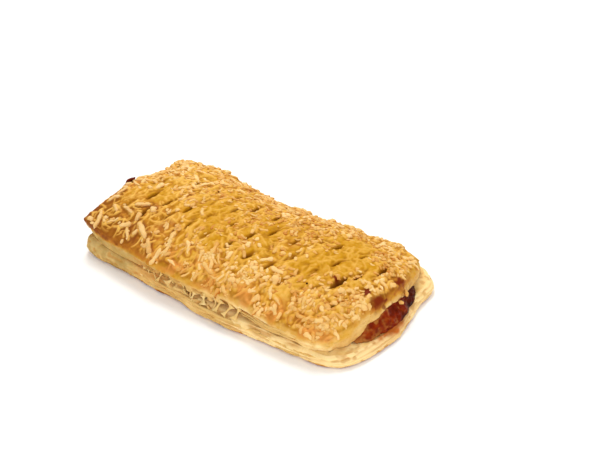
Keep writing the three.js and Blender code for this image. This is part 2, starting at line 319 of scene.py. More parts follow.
def cast(mould, name, material):
    points = np.concatenate(mould["points"])
    quads = np.concatenate(mould["quads"])
    triangles = np.concatenate(mould["triangles"])
    mesh = bpy.data.meshes.new(name)
    mesh.vertices.add(len(points))
    mesh.vertices.foreach_set("co", (points * mm).astype(np.float32).ravel())
    mesh.loops.add(quads.size + triangles.size)
    corners = np.concatenate([quads.ravel(), triangles.ravel()])
    mesh.loops.foreach_set("vertex_index", corners.astype(np.int32))
    mesh.polygons.add(len(quads) + len(triangles))
    starts = np.concatenate([np.arange(len(quads)) * 4, quads.size + np.arange(len(triangles)) * 3])
    mesh.polygons.foreach_set("loop_start", starts.astype(np.int32))
    mesh.update(calc_edges=True)
    mesh.validate()
    mesh.shade_smooth()
    for markName, kept in mould["marks"].items():
        layer = mesh.attributes.new(markName, "FLOAT", "POINT")
        layer.data.foreach_set("value", np.concatenate(kept).astype(np.float32))
    mesh.materials.append(material)
    piece = bpy.data.objects.new(name, mesh)
    bpy.context.scene.collection.objects.link(piece)
    allTriangles = np.concatenate([triangles, quads[:, [0, 1, 2]], quads[:, [0, 2, 3]]])
    a, b, c = [points[allTriangles[:, k]] for k in range(3)]
    volume = np.einsum("ij,ij->i", a, np.cross(b, c)).sum() / 6000  # the sum is six times the mm3
    print(name, "points", len(points), "triangles", len(allTriangles), "volume cm3", round(volume, 2))
    return piece


# once round a sheet's rim, counter-clockwise from its front left corner
def rimWalk(across, deep):
    u, v = np.meshgrid(np.linspace(-1, 1, across), np.linspace(-1, 1, deep))
    return rimOf(u), rimOf(v)


# the u and v of a rim drawn in by so many millimetres
def drawnIn(u, v, by):
    return u * (1 - by / halfLength), v * (1 - by / halfWidth)


# directions straight out of a rim, in plan
def outwards(x, y, reach=5):
    tx = np.roll(x, -reach) - np.roll(x, reach)
    ty = np.roll(y, -reach) - np.roll(y, reach)
    size = np.hypot(tx, ty)
    return ty / size, -tx / size


# leaf edges of the dough on a side: thin crests along it, from -1 to 1, with soft hollows between
def leafRelief(x, y, z, pitch, seed):
    drift = 1.2 * cloud(x, y, 0, 20, seed) + 0.4 * cloud(x, y, 0, 6, seed + 1)
    broad = cloud(x * 0.14, y * 0.14, z + drift, pitch, seed + 2)
    fine = cloud(x * 0.12, y * 0.12, z + drift, 0.36 * pitch, seed + 3)
    return np.clip(0.55 - 1.7 * np.abs(broad) + 0.7 * fine, -1, 1)


# slits cut crosswise in the upper sheet, in staggered rows
slits = {
    "pitch": 11.6, "phase": 2, "rows": 4, "rowPitch": 9.5, "rowStart": -17, "reach": 64, "jitter": 0.8,
    "across": 2.8, "along": 9.6, "depth": 3.4, "least": 0.7, "most": 1.1, "tilt": 0.22,
    "openRow": 1, "openAt": 48.4, "openScale": 1.35, "seed": 17,
    "tiltSpread": 0.3, "lengths": (0.75, 1.35),
    "valley": 0.8, "valleys": (0.05, 1.25), "valleyWidths": (1.0, 1.9),
    "ridge": 0.35, "ridges": (0.3, 1.3), "ridgeAt": 2.6, "ridgeWidth": 1.3,
    "gapeShare": 0.5, "gapes": (0.5, 0.95), "closedGape": 0.15, "gapeAt": (-0.5, 0.1), "rawness": 0.25,
}


def slitPlaces():
    s = slits
    random = seeded(s["seed"])
    places = []
    for row in range(s["rows"]):
        shift = s["phase"] + (0 if row % 2 else s["pitch"] / 2)
        first = math.ceil((-s["reach"] - shift) / s["pitch"])
        last = math.floor((s["reach"] - shift) / s["pitch"])
        for i in range(first, last + 1):
            lattice = shift + i * s["pitch"]
            x = lattice + mix(-s["jitter"], s["jitter"], random())
            y = s["rowStart"] + row * s["rowPitch"] + mix(-s["jitter"], s["jitter"], random())
            size = mix(s["least"], s["most"], random())
            isOpen = row == s["openRow"] and abs(lattice - s["openAt"]) < s["pitch"] / 2
            places.append((x, y, s["openScale"] if isOpen else size, isOpen))
    return places


# what the slits do to the crust: its dents, how deep each is cut open, and where raw filling shows
def slitRelief(x, y, slitsCut):
    s = slits
    random = seeded(s["seed"] + 1)
    dents, opened, rawness = np.zeros_like(x), np.zeros_like(x), np.zeros_like(x)
    for sx, sy, scale, isOpen in slitsCut:
        tilt = s["tilt"] + mix(-s["tiltSpread"], s["tiltSpread"], random())
        a = (x - sx) * math.sin(tilt) + (y - sy) * math.cos(tilt)
        c = (x - sx) * math.cos(tilt) - (y - sy) * math.sin(tilt)
        half = s["along"] / 2 * scale
        lengthwise = np.exp(-(np.abs(a) / (mix(*s["lengths"], random()) * half)) ** 3)
        deep = mix(*s["valleys"], random())
        dents -= s["valley"] * deep * bell(c, 0, mix(*s["valleyWidths"], random())) * lengthwise
        puff = mix(*s["ridges"], random())  # its +X side puffs up
        dents += s["ridge"] * puff * bell(c, s["ridgeAt"], s["ridgeWidth"]) * lengthwise
        stillOpen = random() < s["gapeShare"]  # the others closed up again
        gape = mix(*s["gapes"], random()) if stillOpen else s["closedGape"] * random()
        gape = 1 if isOpen else gape
        centre = half * mix(*s["gapeAt"], random())  # most gape at the front end only
        lens = np.maximum(1 - ((a - centre) / (half * mix(0.6, 0.9, gape))) ** 2, 0)
        wide = s["across"] / 2 * scale * lens * gape + 0.05
        cut = np.clip(1 - np.abs(c) / wide, 0, 1) ** 0.7 * lens
        opened = np.maximum(opened, cut * s["depth"] * scale * mix(0.45, 0.85, gape))
        rawness = np.maximum(rawness, cut * (1 if isOpen else s["rawness"]))
    return dents, opened, rawness


# grated cheese: the largest shreds first, thick along the rim and thin over the slits
shreds = {
    "count": 102, "longest": 13, "shortest": 5.5, "rightShare": 0.6, "spacing": 4.6, "bend": 0.3,
    "farU": 0.94, "farV": 0.9, "keepX": 3, "keepY": 6, "rimShare": 0.7,
    "seed": 41, "width": 1.45, "rings": 11, "sides": 9,
    "extra": 640, "extraLongest": 5.6, "extraShortest": 1.9, "extraSpacing": 1.3, "extraKeep": 0.4,
    "extraU": 1.04, "extraV": 1.1,
    "curl": 1.4, "stickSpacing": 3.0, "stickLongest": 10.5, "stickShortest": 5.0,
    "stickRoom": 5.4, "bitShare": 0.45, "bitLength": (1.9, 3.4), "branchShare": 0.16,
    "branchLength": 0.6, "branchTurn": (0.7, 1.2), "branchShift": 0.25,
    "meltedFrom": 0.6, "meltedExtra": 900, "meltedSeed": 42, "meltedRise": 0.5, "meltedLength": (2.2, 7.0),
    "skirt": 0.42, "pathSteps": 5,
    "crumbs": 420, "crumbSeed": 43, "crumbRings": 8, "crumbSides": 9, "crumbLength": (1.2, 2.8),
    "grains": 1300, "grainSeed": 44, "grainToast": 0.8, "grainSoft": 0.8, "grainGirth": 0.35,
    "grainLength": (2.4, 5.2),
}
shredColumns = ("x", "y", "u", "v", "turn", "bend", "size", "luck", "girth", "knob")


# columns of a table of shreds, as views that can be changed in place
def columns(places, *names):
    return [places[:, shredColumns.index(name)] for name in names]


# where filling soaked through the crust: x, y and reach each way
stains = ((67.4, -3.8, 2.8, 3.6), (67.4, 11.0, 2.2, 2.8), (60.4, -4.6, 2.4, 1.8), (47.8, -7.4, 2.2, 1.2))
stainEdge = 1.3  # no loose cheese nearer to a stain's middle than this, in reaches


def onStain(x, y):
    return any(math.hypot((x - sx) / rx, (y - sy) / ry) < stainEdge for sx, sy, rx, ry in stains)


# most cheese lies on the front and back slopes and the right end, least at the front left corner
def cheeseShare(u, v):
    slopes = max(ease(0.3, 0.64, abs(v)), ease(0.66, 0.86, u), 0.8 * ease(0.5, 0.75, -u))
    rim = ease(-0.84, -0.95, v) * ease(0.75, 0.2, u)
    return slopes * (1 - 0.75 * stickAt(u, v)) * (1 - 0.6 * rim)


# it fell in clumps, with bare crust between them
def clumpedAt(x, y):
    return float(mix(0.07, 1, ease(-0.12, 0.22, cloud(x, y, 0, 7, 45))))


def leftness(u):
    return np.clip(0.4 - u, 0, 1)


# 1 at the front left, where the shreds are long straight sticks
def stickAt(u, v):
    return ease(-0.1, -0.6, u) * ease(0.15, -0.3, v)


def shredPlaces(slitsCut):
    s = shreds
    random = seeded(s["seed"])
    slitX = np.array([p[0] for p in slitsCut])
    slitY = np.array([p[1] for p in slitsCut])
    total = s["count"] + s["extra"]
    xy = np.zeros((total, 2))
    places = []
    while len(places) < total:
        number = len(places)
        extra = number >= s["count"]
        u = mix(-s["farU"], s["farU"], random()) * (s["extraU"] if extra else 1)
        v = mix(-s["farV"], s["farV"], random()) * (s["extraV"] if extra else 1)
        turn = random() * math.pi
        bend = mix(-s["bend"], s["bend"], random()) / 2
        rim = max(abs(u) ** 3, v * v)
        x, y = (float(a) for a in inPlan(upperEdges, np.float64(u), np.float64(v)))
        chance = 1 - s["rimShare"] * (1 - rim)
        if extra:
            chance = mix(0.08, 1, cheeseShare(u, v)) * max(clumpedAt(x, y), 0.6 * ease(0.7, 0.86, u))
        wanted = random() < chance
        keep = s["extraKeep"] if extra else 1
        overSlit = np.any((abs(slitX - x) < s["keepX"] * keep) & (abs(slitY - y) < s["keepY"] * keep))
        overStain = extra and (onStain(x, y) or (u > 0.86 and v > 0.8))
        stick = float(stickAt(u, v))
        spacing = mix(s["extraSpacing"], s["stickSpacing"], stick) if extra else s["spacing"]
        crowded = np.any(np.hypot(xy[:number, 0] - x, xy[:number, 1] - y) < spacing)
        if not wanted or overSlit or overStain or crowded:
            continue
        size = mix(s["longest"], s["shortest"], math.sqrt(number / s["count"]))
        size = size * mix(s["rightShare"], 1, leftness(u))
        if extra:
            draw = random()
            size = mix(s["extraShortest"], s["extraLongest"], draw ** 1.8) * mix(0.82, 1.3, leftness(u))
            size = mix(size, mix(s["stickShortest"], s["stickLongest"], draw ** 1.5), stick)
            bend = bend * mix(s["curl"], 0.3, stick)
        xy[number] = x, y
        places.append((x, y, u, v, turn, bend, size))
    luck = np.array([random() for i in range(3 * total)]).reshape(total, 3)
    rows = np.hstack([np.array(places), luck])
    u, v, sizes = columns(rows, "u", "v", "size")
    stick = stickAt(u, v) > 0.5
    kept = np.ones(total, bool)
    for number in range(s["count"], total):  # the sticks at the front left lie apart
        near = np.hypot(xy[:number, 0] - xy[number, 0], xy[:number, 1] - xy[number, 1]) < s["stickRoom"]
        if stick[number] and np.any(near & kept[:number]):
            kept[number] = luck[number, 0] < s["bitShare"]  # some are broken bits
            sizes[number] = mix(*s["bitLength"], luck[number, 1])
    return rows[kept]


# short crumbs between the shreds, or shreds that melted away all over, mostly lengthwise to the slits
def looseBits(count, seed, lengths, melted):
    random = seeded(seed)
    places = []
    while len(places) < count:
        u = mix(-0.97, 0.97, random())
        v = mix(-0.97, 0.97, random())
        rest = [random() for i in range(7)]
        turn = rest[0] * math.pi
        if melted and rest[6] < 0.6:
            turn = math.pi / 2 - slits["tilt"] + mix(-0.75, 0.75, rest[0])
        x, y = inPlan(upperEdges, np.float64(u), np.float64(v))
        if melted or (rest[6] < mix(0.05, 1, cheeseShare(u, v)) * clumpedAt(x, y) and not onStain(x, y)):
            size = mix(*lengths, rest[2] ** 1.5)
            places.append((x, y, u, v, turn, 0.5 * (rest[1] - 0.5), size, *rest[3:6]))
    return np.array(places)


# a shred's middle line in plan, points along it from end to end
def shredPath(places, steps):
    x, y, turn, bend, size = [a[:, None] for a in columns(places, "x", "y", "turn", "bend", "size")]
    reach = np.linspace(-0.5, 0.5, steps)[None, :]
    along = size * reach
    side = size * bend * (1 - 4 * reach * reach)
    return x + along * np.cos(turn) - side * np.sin(turn), y + along * np.sin(turn) + side * np.cos(turn)


# 0 where the cheese kept its shape, 1 where it melted flat into the crust
def meltAt(u, v, luck):
    middle = ease(0.7, 0.34, np.abs(v)) * ease(0.95, 0.7, np.abs(u))
    return np.clip(0.28 + 0.15 * ease(-0.3, 0.4, u) + 0.45 * middle + 0.5 * (luck - 0.5), 0, 1)


# the largest of many soft sticks laid on a surface
def sticksOn(x, y, paths, widths, rises):
    height = np.zeros_like(x)
    for px, py, width, rise in zip(*paths, widths, rises):
        pad = 2 * width
        rows = (x > px.min() - pad) & (x < px.max() + pad) & (y > py.min() - pad) & (y < py.max() + pad)
        if not rows.any():
            continue
        gx, gy = x[rows], y[rows]
        near = np.full(gx.shape, 1e9)
        for k in range(len(px) - 1):
            ax, ay, bx, by = px[k], py[k], px[k + 1] - px[k], py[k + 1] - py[k]
            t = np.clip(((gx - ax) * bx + (gy - ay) * by) / (bx * bx + by * by), 0, 1)
            near = np.minimum(near, np.hypot(gx - ax - t * bx, gy - ay - t * by))
        height[rows] = np.maximum(height[rows], rise * np.exp(-(near / (0.6 * width)) ** 3.2))
    return height


# upper sheet
crust = {
    "across": 352, "deep": 186, "sideRows": 20, "rollOver": 1.5, "leaf": 0.5, "leafPitch": 2.6,
    "underRows": (0.985, 0.965, 0.94, 0.89, 0.75, 0.45), "evenOut": 14,
    "lumps": ((11, 0.45), (4.5, 0.28), (2.0, 0.16), (1.0, 0.1)), "wrinkle": 0.3,
    "shelfDeep": 1.5, "tornDeep": 2.1, "tipSlope": 3.0, "endBend": 0.8, "endSag": 1.3, "gape": 1.5,
}
# stretches of the front side along X, each from nothing to all
stretches = {
    "tornStart": (-44, -33), "tornEnd": (19, 12), "shelfStart": (13, 21), "shelfEnd": (54, 44),
    "seamMiddle": -37, "seamSpread": 7, "seamOpen": 0.75,
}


def crustField(slitsCut, places, melted):
    c = crust
    su, sv = 1 - c["rollOver"] / halfLength, 1 - c["rollOver"] / halfWidth
    u, v = np.meshgrid(np.linspace(-su, su, c["across"]), np.linspace(-sv, sv, c["deep"]))
    x, y = inPlan(upperEdges, u, v)
    z = crustHeight(u, v)
    for number, (size, rise) in enumerate(c["lumps"]):
        z = z + rise * cloud(x, y, 0, size, 60 + number)
    z = z - c["endBend"] * ease(6, 0, (1 - u) * halfLength) ** 1.5 * ease(0.95, 0.6, np.abs(v))
    tilt = slits["tilt"]
    acrossSlits = x * math.cos(tilt) - y * math.sin(tilt)
    alongSlits = x * math.sin(tilt) + y * math.cos(tilt)
    wrinkles = cloud(acrossSlits, alongSlits * 0.35, 0, 4.2, 66)
    wrinkles = wrinkles + 0.5 * cloud(acrossSlits, alongSlits * 0.3, 0, 1.9, 67)
    wrinkles = wrinkles * ease(1, 0.75, np.abs(v))
    dents, opened, rawness = slitRelief(x, y, slitsCut)
    melt = meltAt(*columns(places, "u", "v", "luck"))
    isFlat = melt > shreds["meltedFrom"]
    flatOnes = np.concatenate([places[isFlat], melted])
    girth, knob = columns(flatOnes, "girth", "knob")
    width, steps = shreds["width"], shreds["pathSteps"]
    flat = sticksOn(x, y, shredPath(flatOnes, steps), width * mix(0.32, 0.8, girth), mix(0.4, 1, knob))
    flat = flat * ease(1.2, 0.3, opened)
    patches = ease(-0.02, 0.3, cloud(x, y, 0, 9, 46)) * ease(0.75, 0.5, np.abs(v))  # puffed smooth and oily
    flat = flat * (1 - 0.4 * patches)
    raised = places[~isFlat]
    girth = columns(raised, "girth")[0]
    paths, full = shredPath(raised, steps), np.ones(len(raised))
    skirts = sticksOn(x, y, paths, width * mix(1.0, 1.4, girth), full)
    # a ring round each raised shred, darkened in the colours: partly toasting, partly painted shade where the
    # shred sits on the crust
    toastShadeRing = sticksOn(x, y, paths, width * mix(1.6, 2.2, girth), full)
    base = z + c["wrinkle"] * wrinkles + dents + shreds["meltedRise"] * flat + shreds["skirt"] * skirts
    # crest is above 0 on ridges and below 0 in hollows; the colours paint a highlight on the first and shade
    # in the second
    crest = 1.6 * (base - softened(base, 3)) + 0.9 * (base - softened(base, 8))
    return {
        "u": u, "v": v, "x": x, "y": y, "z": base - opened, "base": base, "su": su, "sv": sv, "melt": melt,
        "dents": dents + 0.5 * wrinkles, "opened": opened, "rawness": rawness, "flat": flat, "skirts": skirts,
        "patches": patches, "toastShadeRing": np.clip(toastShadeRing - skirts, 0, 1), "crest": np.clip(crest, -1, 1),
    }


# reads one of the field's layers at places in plan; outside the rim it is the rim's own value
def fieldAt(field, layer, x, y):
    u, v = onUpperSheet(x, y)
    rows, columns = field[layer].shape
    gu = np.clip((u / field["su"] + 1) / 2 * (columns - 1), 0, columns - 1.001)
    gv = np.clip((v / field["sv"] + 1) / 2 * (rows - 1), 0, rows - 1.001)
    i, j = gu.astype(int), gv.astype(int)
    s, t = gu - i, gv - j
    values = field[layer]
    low = mix(values[j, i], values[j, i + 1], s)
    high = mix(values[j + 1, i], values[j + 1, i + 1], s)
    return mix(low, high, t)


# the stretches of the front side: torn leaves in its middle, and a hollow shelf to the right of them
def frontStretches(x, front):
    s = stretches
    torn = ease(*s["tornStart"], x) * ease(*s["tornEnd"], x) * front
    shelf = ease(*s["shelfStart"], x) * ease(*s["shelfEnd"], x) * front
    return torn, shelf


# how far the sheets stand apart along the torn stretch and left of it, 0 to 1
def gapeAt(x, front):
    s = stretches
    torn = frontStretches(x, front)[0] * ease(-0.25, 0.45, cloud(x, x * 0, 0, 6.5, 97))
    return np.maximum(torn, s["seamOpen"] * front * bell(x, s["seamMiddle"], s["seamSpread"]))


# open cells between the torn leaves, 0 to 1, with thin walls of dough left between them
def leafGaps(x, y, z):
    lean = x + 0.5 * z
    walls = np.minimum(
        np.abs(cloud(lean, y * 0.4, z * 0.6, 6.0, 72)), np.abs(cloud(lean, y, z, 3.8, 73)),
    )
    return ease(0.04, 0.26, walls) * mix(0.5, 1, ease(-0.5, 0.5, cloud(x, y, z, 6, 74)))


# how far each part of the upper face browned, and where it soaked up oil, from 0 to 1; the darkening round
# the raised shreds and over the front left is partly painted shade
browning = {
    "plain": 0.5, "rim": 0.05, "patches": 0.15, "spots": 0.1, "specks": 0.1,
    "cornerTip": 0.4, "frontLeft": 0.26,
    "paleFrontRim": 0.14, "paleFront": 0.16, "paleSlopes": 0.1, "paleRight": 0.08, "paleLeftBack": 0.24,
    "roundShreds": 0.85, "roundStains": 0.3,
    "oilValleys": 0.6, "oilMiddle": 0.4, "oilPatches": 0.4, "oilUneven": 0.25,
}


# the marks that the crust's colours follow, all over its upper face
def crustMarks(field):
    b = browning
    x, y, u, v = field["x"], field["y"], field["u"], field["v"]
    toRim = np.minimum((1 - np.abs(u)) * halfLength, (1 - np.abs(v)) * halfWidth)
    toFront = (1 + v) * halfWidth
    fromLeft = ease(-45, -20, x)
    slopes = ease(10, 24, np.abs(y)) * fromLeft
    bake = b["plain"] + b["rim"] * ease(9, 1, toRim)
    bake = bake + b["patches"] * cloud(x, y, 0, 16, 81, 2) + b["spots"] * cloud(x, y, 0, 3.4, 82, 2)
    # the front left browns more: at the corner tip from baking, and over the front left partly as painted
    # shade
    frontLeft = b["cornerTip"] * bell(x, -78, 11) * bell(y, -34, 10)
    frontLeft = frontLeft + b["frontLeft"] * ease(-14, -48, x) * ease(0, -28, y)
    bake += frontLeft + b["specks"] * cloud(x, y, 0, 1.5, 88)
    paleFront = b["paleFrontRim"] * ease(5, 1, toFront) * ease(-45, -25, x)
    bake -= paleFront + b["paleFront"] * ease(-12, -24, y) * ease(-35, 0, x)
    # the ring round each raised shred darkens: partly toasting, partly painted shade
    darker = b["roundShreds"] * field["toastShadeRing"] * ease(0.3, 3, toRim)
    paler = b["paleLeftBack"] * ease(-15, -50, x) * ease(-14, 6, y)
    bake += darker - b["paleSlopes"] * slopes - b["paleRight"] * ease(0, 60, x) - paler
    rimGlow = ease(-25, -33, y) * fromLeft
    blotches = 0.8 * ease(-0.15, 0.35, cloud(x, y, 0, 5, 89, 2))
    blush = rimGlow * np.clip(0.75 * bell(x, 61, 12) + blotches, 0, 0.85)
    blush = np.maximum(blush, 0.6 * bell(x, -72, 6) * bell(y, 1, 9))  # beside the leak at the left end
    valley = ease(-0.1, -1.0, field["dents"])
    middle = ease(30, 10, np.abs(y)) * ease(-60, -20, x)
    oil = b["oilValleys"] * valley + b["oilMiddle"] * middle
    oil = oil + b["oilUneven"] * cloud(x, y, 0, 7, 83) + b["oilPatches"] * field["patches"]
    oil = np.clip(oil, 0, 1) * ease(2, 10, toRim)
    stain = field["rawness"]
    # ridges lightened and hollows darkened: painted highlight and painted shade
    crest = field["crest"] * ease(0.2, 3, toRim)
    crest = crest * np.where(crest < 0, mix(1.15, 0.9, slopes), mix(1, 1.6, ease(-15, -50, x)))
    for sx, sy, rx, ry in stains:
        r = np.hypot((x - sx) / rx, (y - sy) / ry)
        r = r + 0.35 * cloud(x, y, 0, 2.2, 85) + 0.25 * cloud(x, y, 0, 1.0, 87)
        stain = np.maximum(stain, ease(1.08, 0.5, r))
        bake += b["roundStains"] * ease(2.2, 1, r)
    toEnd = (1 - u) * halfLength + 2.2 * cloud(x, y, 0, 2.6, 86, 2)
    cutEdge = ease(5.0, 0.6, toEnd) * ease(-0.72, -0.55, v) * ease(0.0, -0.3, v)
    cheese = np.clip(0.8 * field["flat"] + 0.4 * field["skirts"], 0, 1) * (1 - stain)
    # the groove mark darkens the open slits as painted shade
    return {
        "bake": bake, "oil": oil, "cheese": cheese, "stain": stain, "dough": 0.8 * cutEdge,
        "blush": blush, "groove": ease(0.4, 2.0, field["opened"]), "crest": crest,
    }


def makeTopCrust(field, material):
    c = crust
    mould = newMould("bake", "oil", "cheese", "stain", "dough", "groove", "crest", "blush")
    shown = crustMarks(field)
    numbers = pour(mould, field["x"], field["y"], field["z"], **shown)
    fillGrid(mould, numbers)
    ru, rv = rimWalk(c["across"], c["deep"])
    ex, ey = inPlan(upperEdges, ru, rv)
    tip = nearCorner(ex, ey)
    blunt = 1 - 0.012 * (np.abs(ru) * np.abs(rv)) ** 14 * (1 - 0.8 * np.sqrt(tip))
    rimU, rimV = ru * blunt, rv * blunt
    ex, ey = inPlan(upperEdges, rimU, rimV)
    nx, ny = outwards(ex, ey)
    topZ = rimOf(field["z"])
    onTop = {name: rimOf(value) for name, value in shown.items()}
    steps = range(-c["evenOut"], c["evenOut"] + 1)
    rimBake = sum(np.roll(onTop["bake"], k) for k in steps) / len(steps)  # evened out along the rim
    front, right = ease(-0.93, -1, rv), ease(0.93, 1, ru)
    torn, shelf = frontStretches(ex, front)
    smooth = np.maximum(ease(-38, -50, ex) * front, ease(0.02, 0.3, tip))
    closed = np.maximum(ease(44, 56, ex) * front, right * ease(-20, -27, ey))  # pinched at the front right
    sag = right * bell(ey, -7, 13)  # the cut edge drops over the filling
    ragged = 0.5 * cloud(ex, ey, 0, 6, 91, 2) + 0.25 * cloud(ex, ey, 0, 1.6, 92)
    bottomZ = seamAt(ex) + pastry["gap"] / 2 + pastry["cornerGape"] * tip
    bottomZ = bottomZ + np.maximum(ragged + 0.25, 0) * mix(0.3, 1.0, torn) * (1 - smooth) * (1 - closed)
    gape = gapeAt(ex, front)
    bottomZ = bottomZ + c["gape"] * gape
    sauceZ, inside = sauceTop(ex, ey)
    bottomZ = np.maximum(bottomZ, (sauceZ + pastry["gap"]) * inside) - c["endSag"] * sag - 0.6 * closed
    ring = rimOf(numbers)
    overhang = right * ease(-13, -4, ey)
    raw = 0.12 - 0.1 * ease(5, 35, ex) * front + 0.14 * right + 0.08 * torn
    # how far down the golden crust reaches
    goldenTo = 0.06 + 0.2 * ease(-50, -64, ex) * front - 0.06 * right + 0.24 * overhang
    goldenTo = goldenTo + 0.35 * right * ease(-15, -25, ey) + 0.15 * closed * front - 0.08 * shelf
    for row in range(1, c["sideRows"] + 1):
        t = (row / c["sideRows"]) ** 1.15
        pz = mix(topZ, bottomZ, t)
        rolled = mix(max(1 - t / 0.3, 0) ** 2, (1 - t) ** 1.2, right) * (1 - 0.75 * np.sqrt(tip))
        tucked = mix(0.5, 0.15, np.maximum(smooth, closed)) * max((t - 0.85) / 0.15, 0) ** 2
        inset = c["rollOver"] * rolled + tucked + c["tipSlope"] * tip * t
        tuckedU, tuckedV = drawnIn(rimU, rimV, inset)
        px, py = inPlan(upperEdges, tuckedU, tuckedV)
        leaf = leafRelief(px, py, pz, c["leafPitch"], 101)
        below = ease(0.1, 0.4, t)
        push = c["leaf"] * mix(1, 0.3, smooth) * leaf + 0.3 * cloud(px, py, pz, 5, 103)
        push = below * push * (1 - np.sqrt(tip))
        deep = t + 0.12 * cloud(px, py, 0, 5, 106)
        # the hollows under the crust's thin lower lip, and the open cells of the torn stretch
        hollow = shelf * ease(0.34, 0.5, deep) * mix(0.5, 1, ease(-0.4, 0.3, cloud(px, py, pz, 7, 107)))
        gaps = torn * leafGaps(px, py, pz) * ease(0.42, 0.6, deep)
        push -= c["shelfDeep"] * hollow + c["tornDeep"] * gaps
        crease = right * cloud(px * 0.6, py * 0.6, pz * 2.4, 1.5, 94, 2)
        pores = below * smooth * ease(0.25, 0.7, cloud(px * 0.8, py * 0.8, pz * 1.3, 1.5, 95))
        push += 0.7 * sag * t + 0.22 * below * crease - 0.3 * pores
        uneven = mix(0.1, 0.3, overhang) * cloud(px, py, pz, 3.5, 104, 2)
        fade = ease(goldenTo, goldenTo + mix(0.4, 0.32, right) + 0.2 * overhang, t + uneven)
        lines = 0.7 * ease(0.1, -0.9, leaf) * below * mix(1, 0.2, smooth) * (1 - np.maximum(hollow, gaps))
        lines = lines * mix(1, 0.4, np.maximum(closed, right)) + 0.5 * below * ease(-0.1, -0.6, crease)
        soaked = overhang * ease(0.2, 0.6, cloud(px, py, pz, 2.6, 93, 2) + 0.35 * t) * bell(py, 4, 13)
        browned = mix(onTop["bake"], rimBake + 0.25 * cloud(px, py, pz, 2.2, 98, 2), ease(0, 0.15, t))
        # the groove mark below is painted shade in the leaf lines, hollows, torn cells, pores and the gap
        # between the sheets
        ring = ringBelow(
            mould, ring, px + nx * push, py + ny * push, pz, dough=np.maximum(fade, onTop["dough"]),
            bake=mix(browned, raw + 0.1 * cloud(px, py, pz, 6, 105), fade ** mix(1, 2, front)),
            oil=0.55 * front * ease(5, -25, px) * fade * (1 + 0.5 * cloud(px, py, pz, 2.6, 96)),
            groove=lines + 0.3 * hollow + 0.8 * gaps + 0.6 * pores + 0.9 * gape * ease(0.82, 0.97, t),
            stain=np.maximum(onTop["stain"] * max(1 - 1.8 * t, 0), soaked),
            crest=onTop["crest"] * max(1 - 4 * t, 0), blush=onTop["blush"] * max(1 - 2.5 * t, 0),
        )
    for scale in c["underRows"]:
        px, py = inPlan(upperEdges, tuckedU * scale, tuckedV * scale)
        sauceZ, inside = sauceTop(px, py)
        under = seamAt(px) + pastry["gap"] / 2 + pastry["cornerGape"] * nearCorner(px, py)
        under = np.maximum(under, (sauceZ + pastry["gap"]) * inside)
        pz = mix(under, np.maximum(bottomZ, under), ease(0.93, 0.98, scale))
        # the upper sheet's underside is darkened all over as painted shade
        ring = ringBelow(mould, ring, px, py, pz, bake=0.4, dough=1, groove=1)
    middleZ = sauceTop(np.float64(0), np.float64(0))[0] + pastry["gap"]
    capOff(mould, ring, pour(mould, 0, 0, middleZ, bake=0.2, dough=1), False)
    return cast(mould, "topCrust", material)


